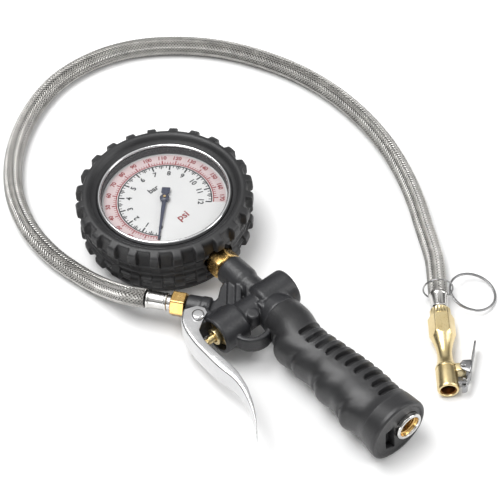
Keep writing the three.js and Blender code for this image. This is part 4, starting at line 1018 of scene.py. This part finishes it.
def build_chuck():
    """The clip-on chuck: a hex body with a waist and a round nose, and its crimped ferrule."""
    shell = rounded([(-72.0, 0), (-72.0, 5.6), (-71.6, 6.0, 0.2), (-70.0, 5.9, 0.3), (-69.4, 5.5),
        (-61.6, 5.3), (-60.8, 5.6, 0.3), (-59.9, 4.7), (-58.4, 4.6), (-58.4, 0)], 0.15)
    ferrule = Shape(CHUCK).turned(shell, ORIGIN, ALONG, 96, shape=fluted(8, 0.9, -68.9, -61.9, 0.7)).put(
        "crimped_ferrule_chuck_end", "steel", NICKEL, "hose_ferrule_chuck_end")
    profile = rounded([(-59.4, 0), (-59.4, 5.4), (-58.9, 6.2, 0.2), (-54.4, 6.25), (-54.2, 5.9),
        (-53.9, 6.4), (-53.4, 7.0, 0.2), (-52.7, 7.95, 0.2), (-40.2, 7.95, 0.3), (-38.4, 7.0, 0.8),
        (-35.8, 6.2, 1.2), (-31.6, 5.0, 2), (-26.4, 4.3, 2), (-21.4, 4.7, 1.5), (-17.8, 5.7, 0.5),
        (-17.2, 6.15, 0.2), (-16.0, 6.5, 0.2), (-15.6, 6.0, 0.2), (-15.0, 6.0, 0.2), (-14.6, 6.4, 0.2),
        (-1.2, 6.4, 0.3), (-0.3, 6.1, 0.2), (0, 5.5, 0.3), (0, 4.9, 0.2), (-0.8, 4.6, 0.2), (-18.2, 4.6),
        (-18.2, 2.6), (-36, 2.6), (-36, 0)], 0.15)
    bore = rounded([(-18.0, 4.3), (-18.0, 4.62), (-1.2, 4.62), (-1.2, 4.3)], 0.1, loop=True)
    hexagon, flutes = hexed(14, -53.9, -38.2), fluted(24, 0.3, -58.8, -54.5)
    lug = [(-17.6, 4.6), (-17.4, 9.6), (-16, 11.4), (-13.4, 11.4), (-12.2, 9.6), (-12, 4.6)]

    def outline(s, r, angle):
        return hexagon(s, flutes(s, r, angle), angle)

    body = Shape(CHUCK).turned(profile, ORIGIN, ALONG, 168, shape=outline)
    body.turned(bore, ORIGIN, ALONG, 48, number=1, loop=True).plate(lug, -3.4, 3.4, 0.4)
    chuck = body.put("chuck_housing", "chuck_brass", [PALE_BRASS, COPPER], "chuck_body")
    seal = rounded([(-11.6, 1.9), (-11.6, 4.35), (-9.2, 4.35), (-9.2, 1.9)], 0.5, loop=True)
    gasket = Shape(CHUCK).turned(seal, ORIGIN, ALONG, 48, loop=True).put(
        "chuck_gasket", "seal_rubber", SEAL, "chuck_seal")
    clip = Shape(CHUCK)
    blade = catmull_rom([(-34.6, 18.6), (-28, 17.2), (-21.4, 15.6), (-17, 14.7), (-12.8, 14.0),
        (-8.6, 12.6), (-4.8, 11.3), (-2.6, 10.9), (-0.9, 10.2), (-0.4, 8.8), (-0.5, 7.7)], 6)
    half = np.interp(blade[:, 0], [-34.6, -33.4, -31, -22, -14, -6, -0.4],
        [1.6, 3.4, 4.4, 4.3, 3.9, 3.4, 2.9])
    thick = 0.6
    section = np.array([rounded([(-w, -thick), (w, -thick), (w, thick), (-w, thick)], 0.35, loop=True)
                        for w in half])
    path = np.column_stack([blade, np.zeros(len(blade))])
    clip.swept(path, section[..., ::-1], side=UPWARDS)
    ear = rounded([(-18.4, 14.9), (-18.4, 9.6, 1.2), (-14.8, 7.0, 2.2), (-11.6, 8.8, 1.4), (-9.4, 13.2)],
        0.4, loop=True)
    clip.plate(ear, 3.8, 4.9, 0.3).plate(ear, -4.9, -3.8, 0.3)
    bridge = rounded([(-17.4, 13.9), (-10.4, 12.9), (-10.2, 14.0), (-17.2, 15.2)], 0.2, loop=True)
    claw = rounded([(-5.4, 11.6), (-5.4, 5.6), (-4.6, 5.0), (-3.6, 5.6), (-3.2, 11.2)], 0.3, loop=True)
    clip.plate(bridge, -4.9, 4.9, 0.3).plate(claw, -2, 2, 0.25)
    lever = clip.put("clip_arm", "steel", STEEL, "clip_lever", "clip", sharp=40)
    rivet = rounded([(-6.1, 0), (-6.1, 1.2), (-5.7, 1.8, 0.3), (-5.2, 1.8), (-5.2, 0.8), (5.2, 0.8),
        (5.2, 1.8), (5.7, 1.8, 0.3), (6.1, 1.2), (6.1, 0)], 0.1)
    pin = Shape(CHUCK).turned(rivet, (-14.8, 9.6, 0), UPWARDS, 32).put(
        "clip_rivet", "steel", STEEL, "clip_pin")
    return [ferrule, chuck, gasket, lever, pin]


WIRE_RING_X, WIRE_RING_RADIUS = -74.2, 8.9
COIL_RADIUS, COIL_LIFT = 14, 0.36  # the split ring's, and half the step from coil to coil


def build_rings():
    """A wire ring round the ferrule, and the split ring that hangs from it."""
    angle = TAU * np.arange(72) / 72
    loop = np.column_stack([np.full(72, WIRE_RING_X), WIRE_RING_RADIUS * np.cos(angle),
        2.4 + WIRE_RING_RADIUS * np.sin(angle)])
    small = Shape(CHUCK).swept(loop, ring_section(0.5, 12), closed=True, side=ALONG).put(
        "wire_ring", "steel", STEEL, "small_ring", "small_ring_body")
    tilt = radians(-14.5)
    turn = np.linspace(0, 2 * TAU, 180)
    # two turns of wire side by side, with a step from one to the other
    lift = COIL_LIFT * np.tanh(6 * np.sin((turn - TAU) / 4))
    x, y = COIL_RADIUS * np.cos(turn), COIL_RADIUS * np.sin(turn) + 14.7
    coil = np.column_stack([WIRE_RING_X + x, 6.5 + y * cos(tilt) - lift * sin(tilt),
        1.6 + y * sin(tilt) + lift * cos(tilt)])
    flat = rounded([(-0.62, -0.33), (0.62, -0.33), (0.62, 0.33), (-0.62, 0.33)], 0.25, loop=True)
    split = Shape(CHUCK).swept(coil, flat).put("double_split_ring", "steel", STEEL, "split_ring",
        "split_ring_body", sharp=50)
    return [small, split]


build_boot()
build_dial()
build_pointer()
build_bezel()
build_nipple()
build_valve()
build_valve_front()
build_lever()
build_grip()
build_end_cap()
build_inlet()
build_hose_start()
chuck_pieces = build_chuck() + build_rings()

# CAD nodes that show through the openings, or only when the tool is taken apart
CARRIED = [
    ("brass", BRASS, ["gauge_socket", "bourdon_tube", "movement_lower_plate", "movement_upper_plate",
                      "hairspring", "pinion_shaft", "sector_gear", "tube_link"]),
    ("black_paint", BLACK_AND_SHADE, ["gauge_case"]), ("steel", STEEL, ["valve_spring", "air_tube"]),
    ("seal_rubber", SEAL, ["valve_seal", "inlet_seal"]), ("inlet_brass", BRASS, ["inlet_filter"]),
    ("chuck_brass", PALE_BRASS, ["chuck_plunger"]),
]
for slot, material, nodes in CARRIED:
    for node in nodes:
        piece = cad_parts[node]
        piece.data.materials.clear()
        piece.data.materials.append(material)
